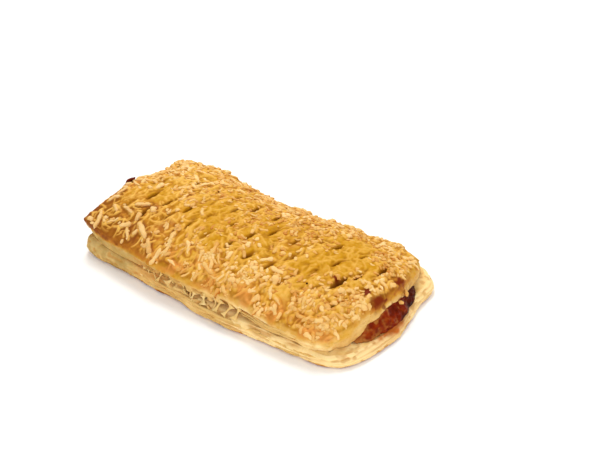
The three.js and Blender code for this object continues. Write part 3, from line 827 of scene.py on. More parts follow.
# sticks of cheese laid on the crust, sunk into it, bent down where they reach past the rim
def layShreds(mould, field, places, softness, steps, sides, toasted=0):
    names = ("u", "v", "size", "luck", "girth", "knob")
    middleU, middleV, size, luck, girth, knob = [a[:, None] for a in columns(places, *names)]
    own = np.arange(len(places))[:, None] * 7.0
    reach = np.linspace(-1, 1, steps)[None, :]
    px, py = shredPath(places, steps)
    bite = cloud(px, py, own, 2.0, 111) + 0.6 * cloud(px, py, own, 0.9, 116)
    px = px + 0.14 * cloud(px, py, own, 3, 112)
    py = py + 0.14 * cloud(px, py, own, 3, 113)
    large = stickAt(middleU, middleV)
    blunt = bluntEnds(reach, mix(mix(2.6, 6, girth), 5, large))
    stout = mix(1, mix(1.7, 1.35, large), np.maximum(large, 0.5 * ease(5, 10, size)))
    stout = stout * mix(0.6, 1, ease(1, 3.6, size))
    stout = stout * mix(1, 1.2, ease(-0.2, 0.4, middleU))  # half melted lumps to the right
    width = shreds["width"] / 2 * mix(0.62, 1.25, girth ** 1.3) * stout * blunt
    width = width * (1 + mix(0.4, 0.18, large) * bite) * (1 + 0.5 * (knob - 0.4) * reach)
    width = width * mix(1, 1.25, softness)
    tall = width * mix(0.85, 0.5, softness)
    u, v = onUpperSheet(px, py)
    over = np.maximum(np.abs(u) - 0.985, 0) * halfLength + np.maximum(np.abs(v) - 0.975, 0) * halfWidth
    rimX, rimY = inPlan(upperEdges, np.clip(u, -1, 1), np.clip(v, -1, 1))
    px, py = np.where(over > 0, rimX, px), np.where(over > 0, rimY, py)
    ground = fieldAt(field, "base", px, py) - 1.1 * over
    lift = mix(0.9, 0.3, large) * reach * (girth - 0.5) - 0.16 * (1 - large)
    centre = np.stack([px, py, ground + lift], axis=-1)
    step = 0.6
    slopeX = (fieldAt(field, "base", px + step, py) - fieldAt(field, "base", px - step, py)) / (2 * step)
    slopeY = (fieldAt(field, "base", px, py + step) - fieldAt(field, "base", px, py - step)) / (2 * step)
    upward = np.stack([-slopeX, -slopeY, np.ones_like(slopeX)], axis=-1)
    rings, high = ringsRound(centre, upward, width, tall, sides)
    plain = centre[:, :, None] + rings
    points = centre[:, :, None] + rings * (1 + 0.3 * cloud(*splitUp(plain), 1.2, 114))[..., None]
    # the front left sticks are toasted more, partly as painted shade over the front left
    toast = toasted + 0.4 * np.abs(reach) ** 3 + 0.3 * large * np.ones_like(reach)
    toast = toast[..., None] + 0.6 * cloud(points[..., 0], points[..., 1], 0, 7, 115)
    toast = toast + 1.1 * large[..., None] * cloud(*splitUp(points), 1.7, 118, 2)
    # foot darkens each shred's underside: partly toasting where it lies on the crust, partly painted shade
    marks = {
        "tint": (luck * mix(1, 0.5, large))[..., None], "toast": toast, "foot": ease(0.75, -0.5, high),
        # the front left sticks get a paler flat tan: partly their own colour, partly painted shade
        "tan": large[..., None],
    }
    skinOver(mould, centre, points, marks, {"tint": luck[:, 0], "toast": 0.5, "foot": 0.5})


# two shreds that fell across the open end, onto the filling
hanging = (((69.0, 13.8, 12.2), (71.0, 12.4, 9.8)), ((70.2, 6.6, 9.8), (71.9, 8.2, 9.3)))


def hangShreds(mould, steps, sides):
    ends = np.array(hanging)
    t = np.linspace(0, 1, steps)[None, :, None]
    centre = mix(ends[:, :1], ends[:, 1:], t)
    centre[..., 2] += 0.5 * np.sin(math.pi * t[..., 0])
    width = 0.9 * bluntEnds(2 * t[..., 0] - 1, 4) * (1 + 0.45 * cloud(*splitUp(centre), 1.2, 117))
    rings, high = ringsRound(centre, np.array((0.7, 0, 0.7)), width, 0.75 * width, sides)
    # foot darkens each shred's underside: partly toasting, partly painted shade
    marks = {"tint": 0.5, "toast": 0.6, "foot": ease(0.75, -0.5, high)}
    skinOver(mould, centre, centre[:, :, None] + rings, marks, {"tint": 0.5, "toast": 0.8, "foot": 0.5})


def makeShreds(field, places, material):
    s = shreds
    mould = newMould(*cheeseMarks)
    kept = field["melt"] <= s["meltedFrom"]
    raised, softness = places[kept], field["melt"][kept]
    forked = columns(raised, "knob")[0] < s["branchShare"]  # a few have a second arm
    arms = raised[forked].copy()
    x, y, turn, size, girth = columns(arms, "x", "y", "turn", "size", "girth")
    turn += mix(*s["branchTurn"], girth)
    x += s["branchShift"] * size * np.cos(turn)
    y += s["branchShift"] * size * np.sin(turn)
    size *= s["branchLength"]
    softness = np.concatenate([softness, softness[forked]])[:, None]
    layShreds(mould, field, np.concatenate([raised, arms]), softness, s["rings"], s["sides"])
    hangShreds(mould, s["rings"], s["sides"])
    return cast(mould, "cheeseShreds", material)


def makeCrumbs(field, material):
    s = shreds
    mould = newMould(*cheeseMarks)
    crumbs = looseBits(s["crumbs"], s["crumbSeed"], s["crumbLength"], False)
    softness = 0.5 * columns(crumbs, "luck")[0][:, None]
    layShreds(mould, field, crumbs, softness, s["crumbRings"], s["crumbSides"])
    grains = looseBits(s["grains"], s["grainSeed"], s["grainLength"], True)  # half melted, over the middle
    x, y, u, v, girth, knob = columns(grains, "x", "y", "u", "v", "girth", "knob")
    girth *= s["grainGirth"]
    share = ease(0.9, 0.55, np.abs(v)) * ease(0.97, 0.8, np.abs(u))
    share = share * (1 - 0.9 * fieldAt(field, "patches", x, y)) * (1 - stickAt(u, v))
    clear = (fieldAt(field, "opened", x, y) < 0.2) & (fieldAt(field, "rawness", x, y) < 0.1)
    grains = grains[(knob < share) & clear]
    layShreds(mould, field, grains, s["grainSoft"], s["crumbRings"], s["crumbSides"], s["grainToast"])
    return cast(mould, "cheeseCrumbs", material)


# lower sheet
lowerSheet = {
    "across": 480, "deep": 262, "sideRows": 30, "leaf": 0.55, "leafPitch": 2.2,
    "topRows": (0.25, 0.6, 0.78, 0.86, 0.9, 0.925, 0.945, 0.96, 0.972, 0.982, 0.99),
    "underRows": (0.985, 0.96, 0.92, 0.86, 0.75, 0.55, 0.3),
    "upperRound": 1.2, "lowerRound": 0.9, "lipRound": 3.0, "bulge": 3.2, "bulgeHeel": 2.4,
    "lipLine": 1.25, "tornDeep": 1.4, "gape": 1.1, "middleBake": 0.1, "underBake": 0.8,
}


def lowerTop(x, y, u):
    top = seamAt(x) - pastry["gap"] / 2 - pastry["lipDroop"] * np.maximum(u, 0) ** 12
    top = top + pastry["cornerPeel"] * nearCorner(x, y)
    sauceZ, inside = sauceTop(x, y)
    return mix(top, np.minimum(top, sauce["bed"] - pastry["gap"]), inside)


# sauce smeared on the lip before the filling
def smearAt(x, y):
    edge = sauceEnds((y - sauce["shift"]) / sauceHalf(0.9))[1]
    return ease(2.6, 0.4, x - edge + 1.6 * cloud(x, y, 0, 2.4, 125, 2)) * bell(y, -5, 13)


def roundedOff(t):
    return 1 - math.sqrt(1 - t * t)


def makeBottomCrust(material):
    b = lowerSheet
    mould = newMould(*doughMarks)
    ru, rv = rimWalk(b["across"], b["deep"])
    blunt = 1 - 0.03 * (np.abs(ru) * np.abs(rv)) ** 12
    ru, rv = ru * blunt, rv * blunt
    front, right = ease(-0.93, -0.98, rv), ease(0.9, 0.97, ru)
    cornerSide = ease(-0.93, -0.98, ru) * ease(-0.1, -0.7, rv)
    smooth = np.maximum(ease(-36, -50, ru * halfLength) * front, cornerSide)  # the bulge at the front left
    smoothOrRight = np.maximum(smooth, right)
    upperRound = mix(mix(b["upperRound"], b["bulge"], smooth), b["lipRound"], right)
    lowerRound = mix(b["lowerRound"], b["bulgeHeel"], smooth)

    def inset(by, scale=1):
        return inPlan(lowerEdges, *drawnIn(ru * scale, rv * scale, by))

    ring = None
    middle = pour(mould, 0, 0, sauce["bed"] - pastry["gap"], bake=b["middleBake"])
    for scale in b["topRows"]:
        px, py = inset(upperRound, scale)
        folds = 0.25 * cloud(px, py, 0, 4, 121, 2) + 0.3 * front * cloud(px, py, 0, 2.4, 124)
        apart = gapeAt(px, front) * ease(0.93, 0.985, scale)
        pz = lowerTop(px, py, ru * scale) + folds * ease(0.8, 0.95, scale) - b["gape"] * apart
        smeared = np.hypot((px - 73.5) / 3.4, (py + 1) / 13) + 0.35 * cloud(px, py, 0, 3, 122)
        pores = right * ease(0.15, 0.6, cloud(px * 1.2, py * 0.6, 0, 1.5, 139)) * ease(0.88, 0.93, scale)
        pz = pz - 0.25 * pores
        # the groove mark is painted shade where the sheets stand apart and in the pores
        marks = {
            "bake": b["middleBake"] + 0.1 * cloud(px, py, 0, 6, 123), "stain": ease(1.3, 0.4, smeared),
            "groove": 0.9 * apart + 0.6 * pores,
        }
        if ring is None:
            ring = pour(mould, px, py, pz, **marks)
            capOff(mould, ring, middle, True)
        else:
            ring = ringBelow(mould, ring, px, py, pz, **marks)
    ex, ey = inset(upperRound)
    wx, wy = inset(0)
    nx, ny = outwards(wx, wy, 8)
    gape = gapeAt(wx, front)
    topZ = lowerTop(ex, ey, ru) - b["gape"] * gape
    footZ = pastry["cornerPeel"] * nearCorner(wx, wy)
    torn = frontStretches(wx, front)[0]
    for row in range(b["sideRows"] + 1):
        t = row / b["sideRows"]
        pz = mix(topZ, footZ, t)
        nose = mix(max(1 - t / 0.25, 0) ** 2, max(1 - t / 0.6, 0) ** 2, right)
        nose = mix(nose, roundedOff(max(1 - t / 0.6, 0)), smooth)
        heel = mix(max((t - 0.8) / 0.2, 0) ** 2.2, roundedOff(max((t - 0.5) / 0.5, 0)), smooth)
        px, py = inset(upperRound * nose + lowerRound * heel)
        onSide = ease(0, 0.1, t) * ease(1, 0.88, t)
        leaf = leafRelief(px, py, pz, b["leafPitch"], 131)
        lines = np.cos(2 * math.pi * (pz + 0.6 * cloud(px, py, 0, 16, 132)) / b["lipLine"])
        push = b["leaf"] * mix(1, 0.35, smoothOrRight) * leaf + 0.12 * right * lines
        push += 0.35 * cloud(px, py, pz, 4.5, 133) + 0.2 * cloud(px, py, pz, 1.3, 137)
        blotch = 1 + 0.5 * cloud(px, py, pz, 2.6, 138, 2)
        bubbles = cloud(px * 0.7, py * 0.7, pz * 1.3, 1.6, 134)
        pits = ease(mix(0.4, 0.15, smoothOrRight), 0.65, bubbles)
        pits = pits * mix(0.3, 1, np.maximum(smooth, 0.8 * right))
        push = (push - 0.4 * pits) * onSide
        gaps = torn * leafGaps(px, py, pz) * ease(0.5, 0.25, t + 0.15 * cloud(px, py, 0, 5, 136))
        push -= b["tornDeep"] * gaps
        stain = right * bell(py, -1, 11) * ease(0.4, 0, t + 0.2 * cloud(px, py, 0, 3, 122))
        stain = np.maximum(stain, right * smearAt(px, py) * ease(0.6, 0.3, t))
        browned = ease(mix(0.8, 0.68, smooth), 0.95, t + 0.08 * cloud(px, py, 0, 5, 135))
        bake = b["middleBake"] + 0.1 * cloud(px, py, pz, 6, 123) + mix(0.8, 1, torn) * browned
        bake = bake + 0.08 * torn - 0.12 * np.maximum(right, front * ease(0, 35, px))
        # painted shade in the leaf lines, pits, torn cells and the gap under the upper sheet
        grooves = 0.7 * ease(0.1, -0.8, leaf) * mix(1, 0.5, smoothOrRight) + 0.3 * right * ease(0, -1, lines)
        grooves = grooves * onSide + 0.65 * pits + 0.7 * gaps + 0.8 * gape * ease(0.1, 0, t)
        ring = ringBelow(
            mould, ring, px + nx * push, py + ny * push, np.maximum(pz, footZ), stain=stain, bake=bake,
            oil=np.clip(0.62 * smooth * blotch + 0.2 * pits, 0, 1), groove=np.clip(grooves, 0, 1),
        )
    for scale in b["underRows"]:
        px, py = inset(lowerRound, scale)
        pz = 0.18 * ease(-0.1, 0.7, cloud(px, py, 0, 6, 141, 2))  # shallow bubbles off the tray
        pz = pz + pastry["cornerPeel"] * nearCorner(px, py)
        bake = b["underBake"] + 0.15 * cloud(px, py, 0, 9, 142, 2)
        ring = ringBelow(mould, ring, px, py, pz, bake=bake)
    capOff(mould, ring, pour(mould, 0, 0, 0, bake=b["underBake"]), False)
    return cast(mould, "bottomCrust", material)


def fillingPlace(u, v, w):
    s = sauce
    left, right = sauceEnds(v)
    high = (w + 1) / 2
    right = right - s["lean"] * high ** s["leanCurve"]  # the face leans back under the upper sheet
    x = mix(left + 1.5 * high, right, (u + 1) / 2)
    y = s["shift"] + v * sauceHalf(u) * (1 - 0.02 * w * w)
    z = s["bed"] + sauceDepth(u, v) * high
    lump = 0.8 * cloud(x, y, z, 4.2, 151) + 0.8 * cloud(x, y, z, 1.9, 152)
    lump = lump + 0.4 * cloud(x, y, z, 0.9, 153)
    atEnd = ease(0.9, 1, np.abs(u))
    x = x + s["lumps"] * lump * np.sign(u) * atEnd * 0.8
    z = z + s["lumps"] * (0.5 + lump) * 0.35 * high * atEnd
    atRight = ease(0.9, 1, u)
    rim = ease(0.45, 0.05, high + 0.25 * cloud(x, y, z, 2.5, 154))
    back = y + 3 * cloud(x, y, z, 4, 155)
    burnt = np.maximum(rim * ease(-1, 7, back), 0.8 * ease(5, 16, back)) * atRight
    onion = 0.95 * cloud(x, y, z, 2.3, 156, 2) + 0.55 * bell(y, -18, 7)
    pale = ease(0.05, 0.85, onion)  # soft bits among the red
    chunk = 0.7 * pale * atRight * (1 - burnt)
    return x, y, z, burnt, chunk


def makeFilling(material):
    s = sauce
    mould = newMould("burnt", "chunk")
    lineU = np.sin(np.linspace(-1, 1, s["across"]) * math.pi / 2)  # closer together at the ends
    u, v = np.meshgrid(lineU, np.linspace(-1, 1, s["deep"]))
    x, y, z, burnt, chunk = fillingPlace(u, v, 1)
    numbers = pour(mould, x, y, z, burnt=burnt, chunk=chunk)
    fillGrid(mould, numbers)
    ring = rimOf(numbers)
    for row in range(1, s["sideRows"] + 1):
        x, y, z, burnt, chunk = fillingPlace(rimOf(u), rimOf(v), 1 - 2 * row / s["sideRows"])
        ring = ringBelow(mould, ring, x, y, z, burnt=burnt, chunk=chunk)
    capOff(mould, ring, pour(mould, 0, s["shift"], s["bed"]), False)
    return cast(mould, "fillingMass", material)


# filling that burst out and burnt at the left end, and one black crumb on the crust
leaks = {
    "lumps": (  # y, top and half width of each
        (-9.6, 13.2, 2.6), (-7.4, 15.6, 2.6), (-5.4, 21.2, 2.6), (-3.4, 23.1, 2.6), (-1.4, 22.3, 2.4),
        (1.0, 17.0, 2.4), (3.6, 13.6, 2.6),
    ),
    "from": 8.5, "thick": 1.1, "rings": 16, "sides": 12, "rough": 0.7,
    "crumb": (38.8, -17, 0.45), "crumbRings": 7, "crumbSides": 8, "crumbLift": 0.15,
}


def makeLeaks(field, material):
    k = leaks
    mould = newMould("burnt", "chunk")
    y, top, wide = [np.array(a)[:, None] for a in zip(*k["lumps"])]
    t = np.linspace(0, 1, k["rings"])[None, :]
    z = mix(k["from"], top, t)
    py = y + 0.5 * cloud(t * 9, y, 0, 3, 171)
    left = upperEdges(np.float64(-1), py / halfWidth)[0]
    px = left + 0.4 - 0.5 * np.sin(math.pi * t) + 1.2 * ease(0.85, 1, t)
    centre = np.stack(np.broadcast_arrays(px, py, z), axis=-1)
    blunt = bluntEnds(2 * t - 1, 4)
    width = wide * blunt * (1.1 - 0.2 * t) * (1 + 0.3 * cloud(px, py, z, 2.4, 172))
    outward = np.array((-1.0, 0, 0.15))
    rings = ringsRound(centre, outward, width, k["thick"] * blunt, k["sides"])[0]
    points = centre[:, :, None] + rings
    points = points + k["rough"] * cloud(*splitUp(points), 1.5, 173, 2)[..., None] * outward
    skinOver(mould, centre, points, {"burnt": 0.35 * ease(0.3, 1, t)[..., None]}, {"burnt": 0.4})

    cx, cy, size = k["crumb"]
    t = np.linspace(-1, 1, k["crumbRings"])[None, :]
    ground = fieldAt(field, "base", np.array([cx]), np.array([cy]))[:, None]
    centre = np.stack(np.broadcast_arrays(cx + size * t, cy + 0 * t, ground + k["crumbLift"]), axis=-1)
    girth = size * np.maximum(1 - t * t, 0.02) ** 0.5
    rings = ringsRound(centre, np.array((0, 0, 1.0)), girth, girth, k["crumbSides"])[0]
    skinOver(mould, centre, centre[:, :, None] + rings, {"burnt": 1}, {"burnt": 1})
    return cast(mould, "burntLeaks", material)


# thin ragged layers that stand out from the sides
flakes = {
    "seed": 57, "lower": 34, "upper": 20, "shortest": 7, "longest": 26, "leastReach": 0.3, "mostReach": 1.0,
    "thick": 0.32, "root": 0.9, "step": 0.45, "lowerHeights": (1.4, 5.6), "upperHeights": (8.4, 10.8),
    "upperReach": 0.7, "lowest": 0.8, "droop": 0.35, "rimPoints": (1200, 640), "cornerSteps": 40,
}


def flakeStrip(mould, edges, middle, span, height, reach, number):
    f = flakes
    steps = max(int(span / f["step"]), 10)
    walkU, walkV = rimWalk(*f["rimPoints"])
    walkX, walkY = inPlan(edges, walkU, walkV)
    travel = np.concatenate([[0], np.cumsum(np.hypot(np.diff(walkX), np.diff(walkY)))])
    s = (np.linspace(-0.5, 0.5, steps) * span + middle * travel[-1]) % travel[-1]
    x, y = np.interp(s, travel, walkX), np.interp(s, travel, walkY)
    outX, outY = outwards(walkX, walkY, 8)
    turning = np.hypot(*[np.roll(a, f["cornerSteps"]) - np.roll(a, -f["cornerSteps"]) for a in (outX, outY)])
    nx, ny, bent = [np.interp(s, travel, a) for a in (outX, outY, turning)]
    t = np.linspace(-1, 1, steps)
    taper = np.maximum(1 - t ** 4, 0.03) * ease(0.6, 0.15, bent)  # none round a corner
    taper = np.maximum(taper * (1 - 0.7 * ease(-35, -50, x) * (y < 0)), 0.03)
    own = number * 9.0
    z = height + 0.7 * cloud(x, y, own, 12, 161) + 0.25 * cloud(x, y, own, 4, 162)
    z = np.maximum(z, f["lowest"])
    tip = reach * taper * (0.75 + 0.5 * cloud(x, y, own, 2.2, 163, 2))
    thick = f["thick"] * (0.4 + 0.6 * taper)
    droop = f["droop"] * reach
    root = f["root"]
    section = (  # outwards, up and how far it droops, round the strip's cross section
        (-root, 0.6, 0), (0.45, 0.5, 0.2), (0.95, 0.28, 0.8),
        (1, -0.2, 1), (0.5, -0.5, 0.3), (-root, -0.6, 0),
    )
    rows = []
    for along, up, fall in section:
        out = along * np.where(along > 0, tip, 1)
        # the root of each flake is darkened as painted shade where it meets the side
        groove = 0.35 if along < 0 else 0
        px, py, pz = x + nx * out, y + ny * out, z + up * thick - fall * droop
        rows.append(pour(mould, px, py, pz, bake=0.12 + 0.14 * max(along, 0), groove=groove))
    for a, b in zip(rows, rows[1:] + rows[:1]):
        mould["quads"].append(np.stack([a[:-1], b[:-1], b[1:], a[1:]], axis=1))
    first, last = [r[0] for r in rows], [r[-1] for r in rows]
    for k in range(1, len(rows) - 1):
        ends = [[first[0], first[k + 1], first[k]], [last[0], last[k], last[k + 1]]]
        mould["triangles"].append(np.array(ends))


def makeFlakes(material):
    f = flakes
    mould = newMould(*doughMarks)
    random = seeded(f["seed"])
    for number in range(f["lower"] + f["upper"]):
        upper = number >= f["lower"]
        edges = upperEdges if upper else lowerEdges
        middle = random()
        span = mix(f["shortest"], f["longest"], random() ** 1.6)
        reach = mix(f["leastReach"], f["mostReach"], random())
        heights = f["upperHeights"] if upper else f["lowerHeights"]
        front = mix(0.24 if upper else 0.1, 0.29, 2 * middle)  # none across the torn stretch
        middle = front if middle < 0.5 else mix(0.54, 0.79, 2 * middle - 1)
        reach = reach * (f["upperReach"] if upper else 1)
        flakeStrip(mould, edges, middle, span, mix(*heights, random()), reach, number)
    return cast(mould, "flakyLayers", material)


# thin webs of dough stretched across the torn stretch of the front
webs = {
    "seed": 63, "count": 15, "from": -38, "to": 18, "top": (8.8, 11.0), "foot": (4.0, 6.4), "width": 0.7,
    "thick": 0.2, "rings": 11, "sides": 8,
}


def makeWebs(material):
    w = webs
    random = seeded(w["seed"])
    draw = np.array([[random() for k in range(6)] for i in range(w["count"])])
    a, b, c, d, e, f = [draw[:, k, None] for k in range(6)]
    t = np.linspace(0, 1, w["rings"])[None, :]
    x = mix(w["from"], w["to"], (np.arange(w["count"])[:, None] + a) / w["count"]) + mix(-3, 3, b) * (t - 0.5)
    z = mix(mix(*w["top"], c), mix(*w["foot"], d), t)
    u = x / halfLength
    y = mix(upperEdges(u, -1.0)[2] + 0.9, lowerEdges(u, -1.0)[2] + 0.7, t)
    y = y + mix(0.2, 1.4, e) * np.sin(math.pi * t)
    centre = np.stack([x, y, z], axis=-1)
    flare = (2 * t - 1) ** 2
    width = w["width"] * mix(0.5, 1.3, f) * (0.55 + 2.2 * flare) * (1 + 0.4 * cloud(x, y, z, 1.5, 181))
    thick = w["thick"] * (0.7 + 0.8 * flare)
    rings = ringsRound(centre, np.array((0, -1.0, 0.2)), width, thick, w["sides"])[0]
    mould = newMould(*doughMarks)
    marks = {"bake": 0.06 + 0.1 * c[..., None]}
    skinOver(mould, centre, centre[:, :, None] + rings, marks, {"bake": 0.1})
    return cast(mould, "doughWebs", material)


# colours as bytes, into Blender's linear values
def paint(red, green, blue):
    shades = [c / 255 for c in (red, green, blue)]
    return tuple(c / 12.92 if c <= 0.04045 else ((c + 0.055) / 1.055) ** 2.4 for c in shades) + (1,)


# gives a socket a plain value, or another node's output
def feed(tree, socket, value):
    if isinstance(value, (int, float, tuple)):
        socket.default_value = value
    else:
        tree.links.new(value, socket)


def addNode(tree, kind, x, y, inputs=(), **settings):
    node = tree.nodes.new(kind)
    node.location = (x, y)
    for name, value in settings.items():
        setattr(node, name, value)
    for name, value in dict(inputs).items():
        feed(tree, node.inputs[name], value)
    return node


def sumNode(tree, x, y, operation, *values, clamp=False):
    inputs = dict(enumerate(values))
    return addNode(tree, "ShaderNodeMath", x, y, inputs, operation=operation, use_clamp=clamp).outputs[0]


def blendNode(tree, x, y, factor, first, second):
    inputs = {0: factor, 6: first, 7: second}  # where a Mix node has its colours
    return addNode(tree, "ShaderNodeMix", x, y, inputs, data_type="RGBA").outputs[2]


def stepNode(tree, x, y, value, low, high):
    inputs = {"Value": value, "From Min": low, "From Max": high}
    return addNode(tree, "ShaderNodeMapRange", x, y, inputs, interpolation_type="SMOOTHSTEP").outputs[0]


def rampNode(tree, x, y, factor, stops):
    node = addNode(tree, "ShaderNodeValToRGB", x, y, {0: factor})
    ramp = node.color_ramp
    while len(ramp.elements) < len(stops):
        ramp.elements.new(0.5)
    for element, (place, colour) in zip(ramp.elements, stops):
        element.position = place
        element.color = colour
    return node.outputs[0]


def markNode(tree, x, y, name):
    return addNode(tree, "ShaderNodeAttribute", x, y, attribute_name=name).outputs["Fac"]


def newGroup(name, ins, outs):
    group = bpy.data.node_groups.new(name, "ShaderNodeTree")
    for socketName, kind, value in ins:
        socket = group.interface.new_socket(socketName, in_out="INPUT", socket_type="NodeSocket" + kind)
        if value is not None:
            socket.default_value = value
    for socketName, kind in outs:
        group.interface.new_socket(socketName, in_out="OUTPUT", socket_type="NodeSocket" + kind)
    groupIn = addNode(group, "NodeGroupInput", -900, 0)
    groupOut = addNode(group, "NodeGroupOutput", 900, 0)
    return group, groupIn.outputs, groupOut.inputs


# uneven browning: broad tones either side of zero, and small darker freckles
mottle = {
    "detail": 5, "roughness": 0.62, "freckleScale": 4.3, "freckleDetail": 3, "freckles": (0.58, 0.75),
}


def bakedMottleGroup():
    m = mottle
    group, ins, outs = newGroup(
        "bakedMottle",
        (("Place", "Vector", None), ("Size", "Float", 150.0), ("Strength", "Float", 0.3)),
        (("Tone", "Float"), ("Freckles", "Float")),
    )
    broad = addNode(group, "ShaderNodeTexNoise", -600, 150, {
        "Vector": ins["Place"], "Scale": ins["Size"], "Detail": m["detail"], "Roughness": m["roughness"],
    })
    tone = sumNode(group, -300, 150, "SUBTRACT", broad.outputs[0], 0.5)
    feed(group, outs["Tone"], sumNode(group, -100, 150, "MULTIPLY", tone, ins["Strength"]))
    fineSize = sumNode(group, -780, -200, "MULTIPLY", ins["Size"], m["freckleScale"])
    fine = addNode(group, "ShaderNodeTexNoise", -600, -150, {
        "Vector": ins["Place"], "Scale": fineSize, "Detail": m["freckleDetail"],
    })
    feed(group, outs["Freckles"], stepNode(group, -300, -150, fine.outputs[0], *m["freckles"]))
    return group


# fine crumb: a soft grain with pores, as a height
crumb = {"detail": 6, "roughness": 0.6, "poreScale": 0.55, "pores": (0.28, 0.05)}


def crumbGrainGroup():
    group, ins, outs = newGroup(
        "crumbGrain",
        (("Place", "Vector", None), ("Size", "Float", 900.0), ("Pores", "Float", 0.4)),
        (("Height", "Float"),),
    )
    grain = addNode(group, "ShaderNodeTexNoise", -600, 150, {
        "Vector": ins["Place"], "Scale": ins["Size"],
        "Detail": crumb["detail"], "Roughness": crumb["roughness"],
    })
    poreSize = sumNode(group, -780, -200, "MULTIPLY", ins["Size"], crumb["poreScale"])
    cells = addNode(group, "ShaderNodeTexVoronoi", -600, -150, {"Vector": ins["Place"], "Scale": poreSize})
    pores = stepNode(group, -350, -150, cells.outputs["Distance"], *crumb["pores"])
    sunk = sumNode(group, -100, -150, "MULTIPLY", pores, ins["Pores"])
    feed(group, outs["Height"], sumNode(group, 150, 0, "SUBTRACT", grain.outputs[0], sunk))
    return group


# the colour of bare dough by how far it baked, yellower where oil soaked in, and darker in the grooves, gaps
# and pits as painted shade
doughColours = {
    "bake": (
        (0.0, paint(246, 215, 152)), (0.14, paint(229, 190, 118)), (0.42, paint(208, 152, 70)),
        (0.7, paint(182, 106, 34)), (1.0, paint(128, 62, 16)),
    ),
    "oil": paint(160, 126, 58), "groove": paint(200, 144, 74),
}


def doughToneGroup():
    group, ins, outs = newGroup(
        "doughTone",
        (("Bake", "Float", 0.2), ("GrooveShade", "Float", 0.0), ("Oil", "Float", 0.0)),
        (("Color", "Color"),),
    )
    colour = rampNode(group, -500, 100, ins["Bake"], doughColours["bake"])
    colour = blendNode(group, -200, 100, ins["Oil"], colour, doughColours["oil"])
    # painted shade in the grooves
    colour = blendNode(group, 100, 100, ins["GrooveShade"], colour, doughColours["groove"])
    feed(group, outs["Color"], colour)
    return group


mottleGroup = bakedMottleGroup()
grainGroup = crumbGrainGroup()
doughGroup = doughToneGroup()

# what all the finishes share: a dull shine, and light that goes a little way in, in millimetres
sharedFinish = {"specular": 0.05, "softRadius": (1.0, 0.55, 0.25), "softScale": 1.4, "bump": 0.6}


def newFinish(name, roughness, soft):
    material = bpy.data.materials.new(name)
    material.use_nodes = True
    tree = material.node_tree
    shader = tree.nodes["Principled BSDF"]
    shader.inputs["Roughness"].default_value = roughness
    shader.inputs["Specular IOR Level"].default_value = sharedFinish["specular"]
    shader.inputs["Subsurface Weight"].default_value = soft
    shader.inputs["Subsurface Radius"].default_value = sharedFinish["softRadius"]
    shader.inputs["Subsurface Scale"].default_value = sharedFinish["softScale"] * mm
    place = addNode(tree, "ShaderNodeTexCoord", -1700, 0).outputs["Object"]
    return material, tree, shader, place


def addMottle(tree, place, size, strength):
    inputs = {"Place": place, "Size": size, "Strength": strength}
    node = addNode(tree, "ShaderNodeGroup", -1400, -300, inputs, node_tree=mottleGroup)
    return node.outputs["Tone"], node.outputs["Freckles"]


def addGrain(tree, shader, place, size, pores, depth):
    inputs = {"Place": place, "Size": size, "Pores": pores}
    grain = addNode(tree, "ShaderNodeGroup", -700, -500, inputs, node_tree=grainGroup)
    bump = addNode(tree, "ShaderNodeBump", -300, -500, {
        "Strength": sharedFinish["bump"], "Distance": depth * mm, "Height": grain.outputs["Height"],
    })
    feed(tree, shader.inputs["Normal"], bump.outputs[0])


def addDough(tree, bake, groove, oil):
    inputs = {"Bake": bake, "GrooveShade": groove, "Oil": oil}
    return addNode(tree, "ShaderNodeGroup", -900, -100, inputs, node_tree=doughGroup).outputs["Color"]


goldenCrust = {
    "roughness": 0.5, "soft": 0.1, "mottle": (230, 0.5), "freckles": 0.2, "grain": (1300, 0.25, 0.3),
    "bake": (
        (0.0, paint(230, 186, 104)), (0.3, paint(217, 163, 62)), (0.52, paint(203, 144, 36)),
        (0.75, paint(182, 113, 38)), (1.0, paint(132, 68, 22)),
    ),
    "cheese": ((0.1, paint(234, 186, 98)), (0.5, paint(223, 166, 68)), (0.9, paint(204, 136, 36))),
    "oil": paint(194, 136, 2), "blush": paint(219, 142, 66), "stain": paint(118, 40, 6),
    # raised is a painted highlight on crests, the next a painted shade in hollows, the last a painted shade
    # inside the open slits
    "raised": (0.55, paint(233, 182, 88)), "hollowShade": (-0.75, paint(146, 88, 10)), "slit": paint(126, 78, 22),
}


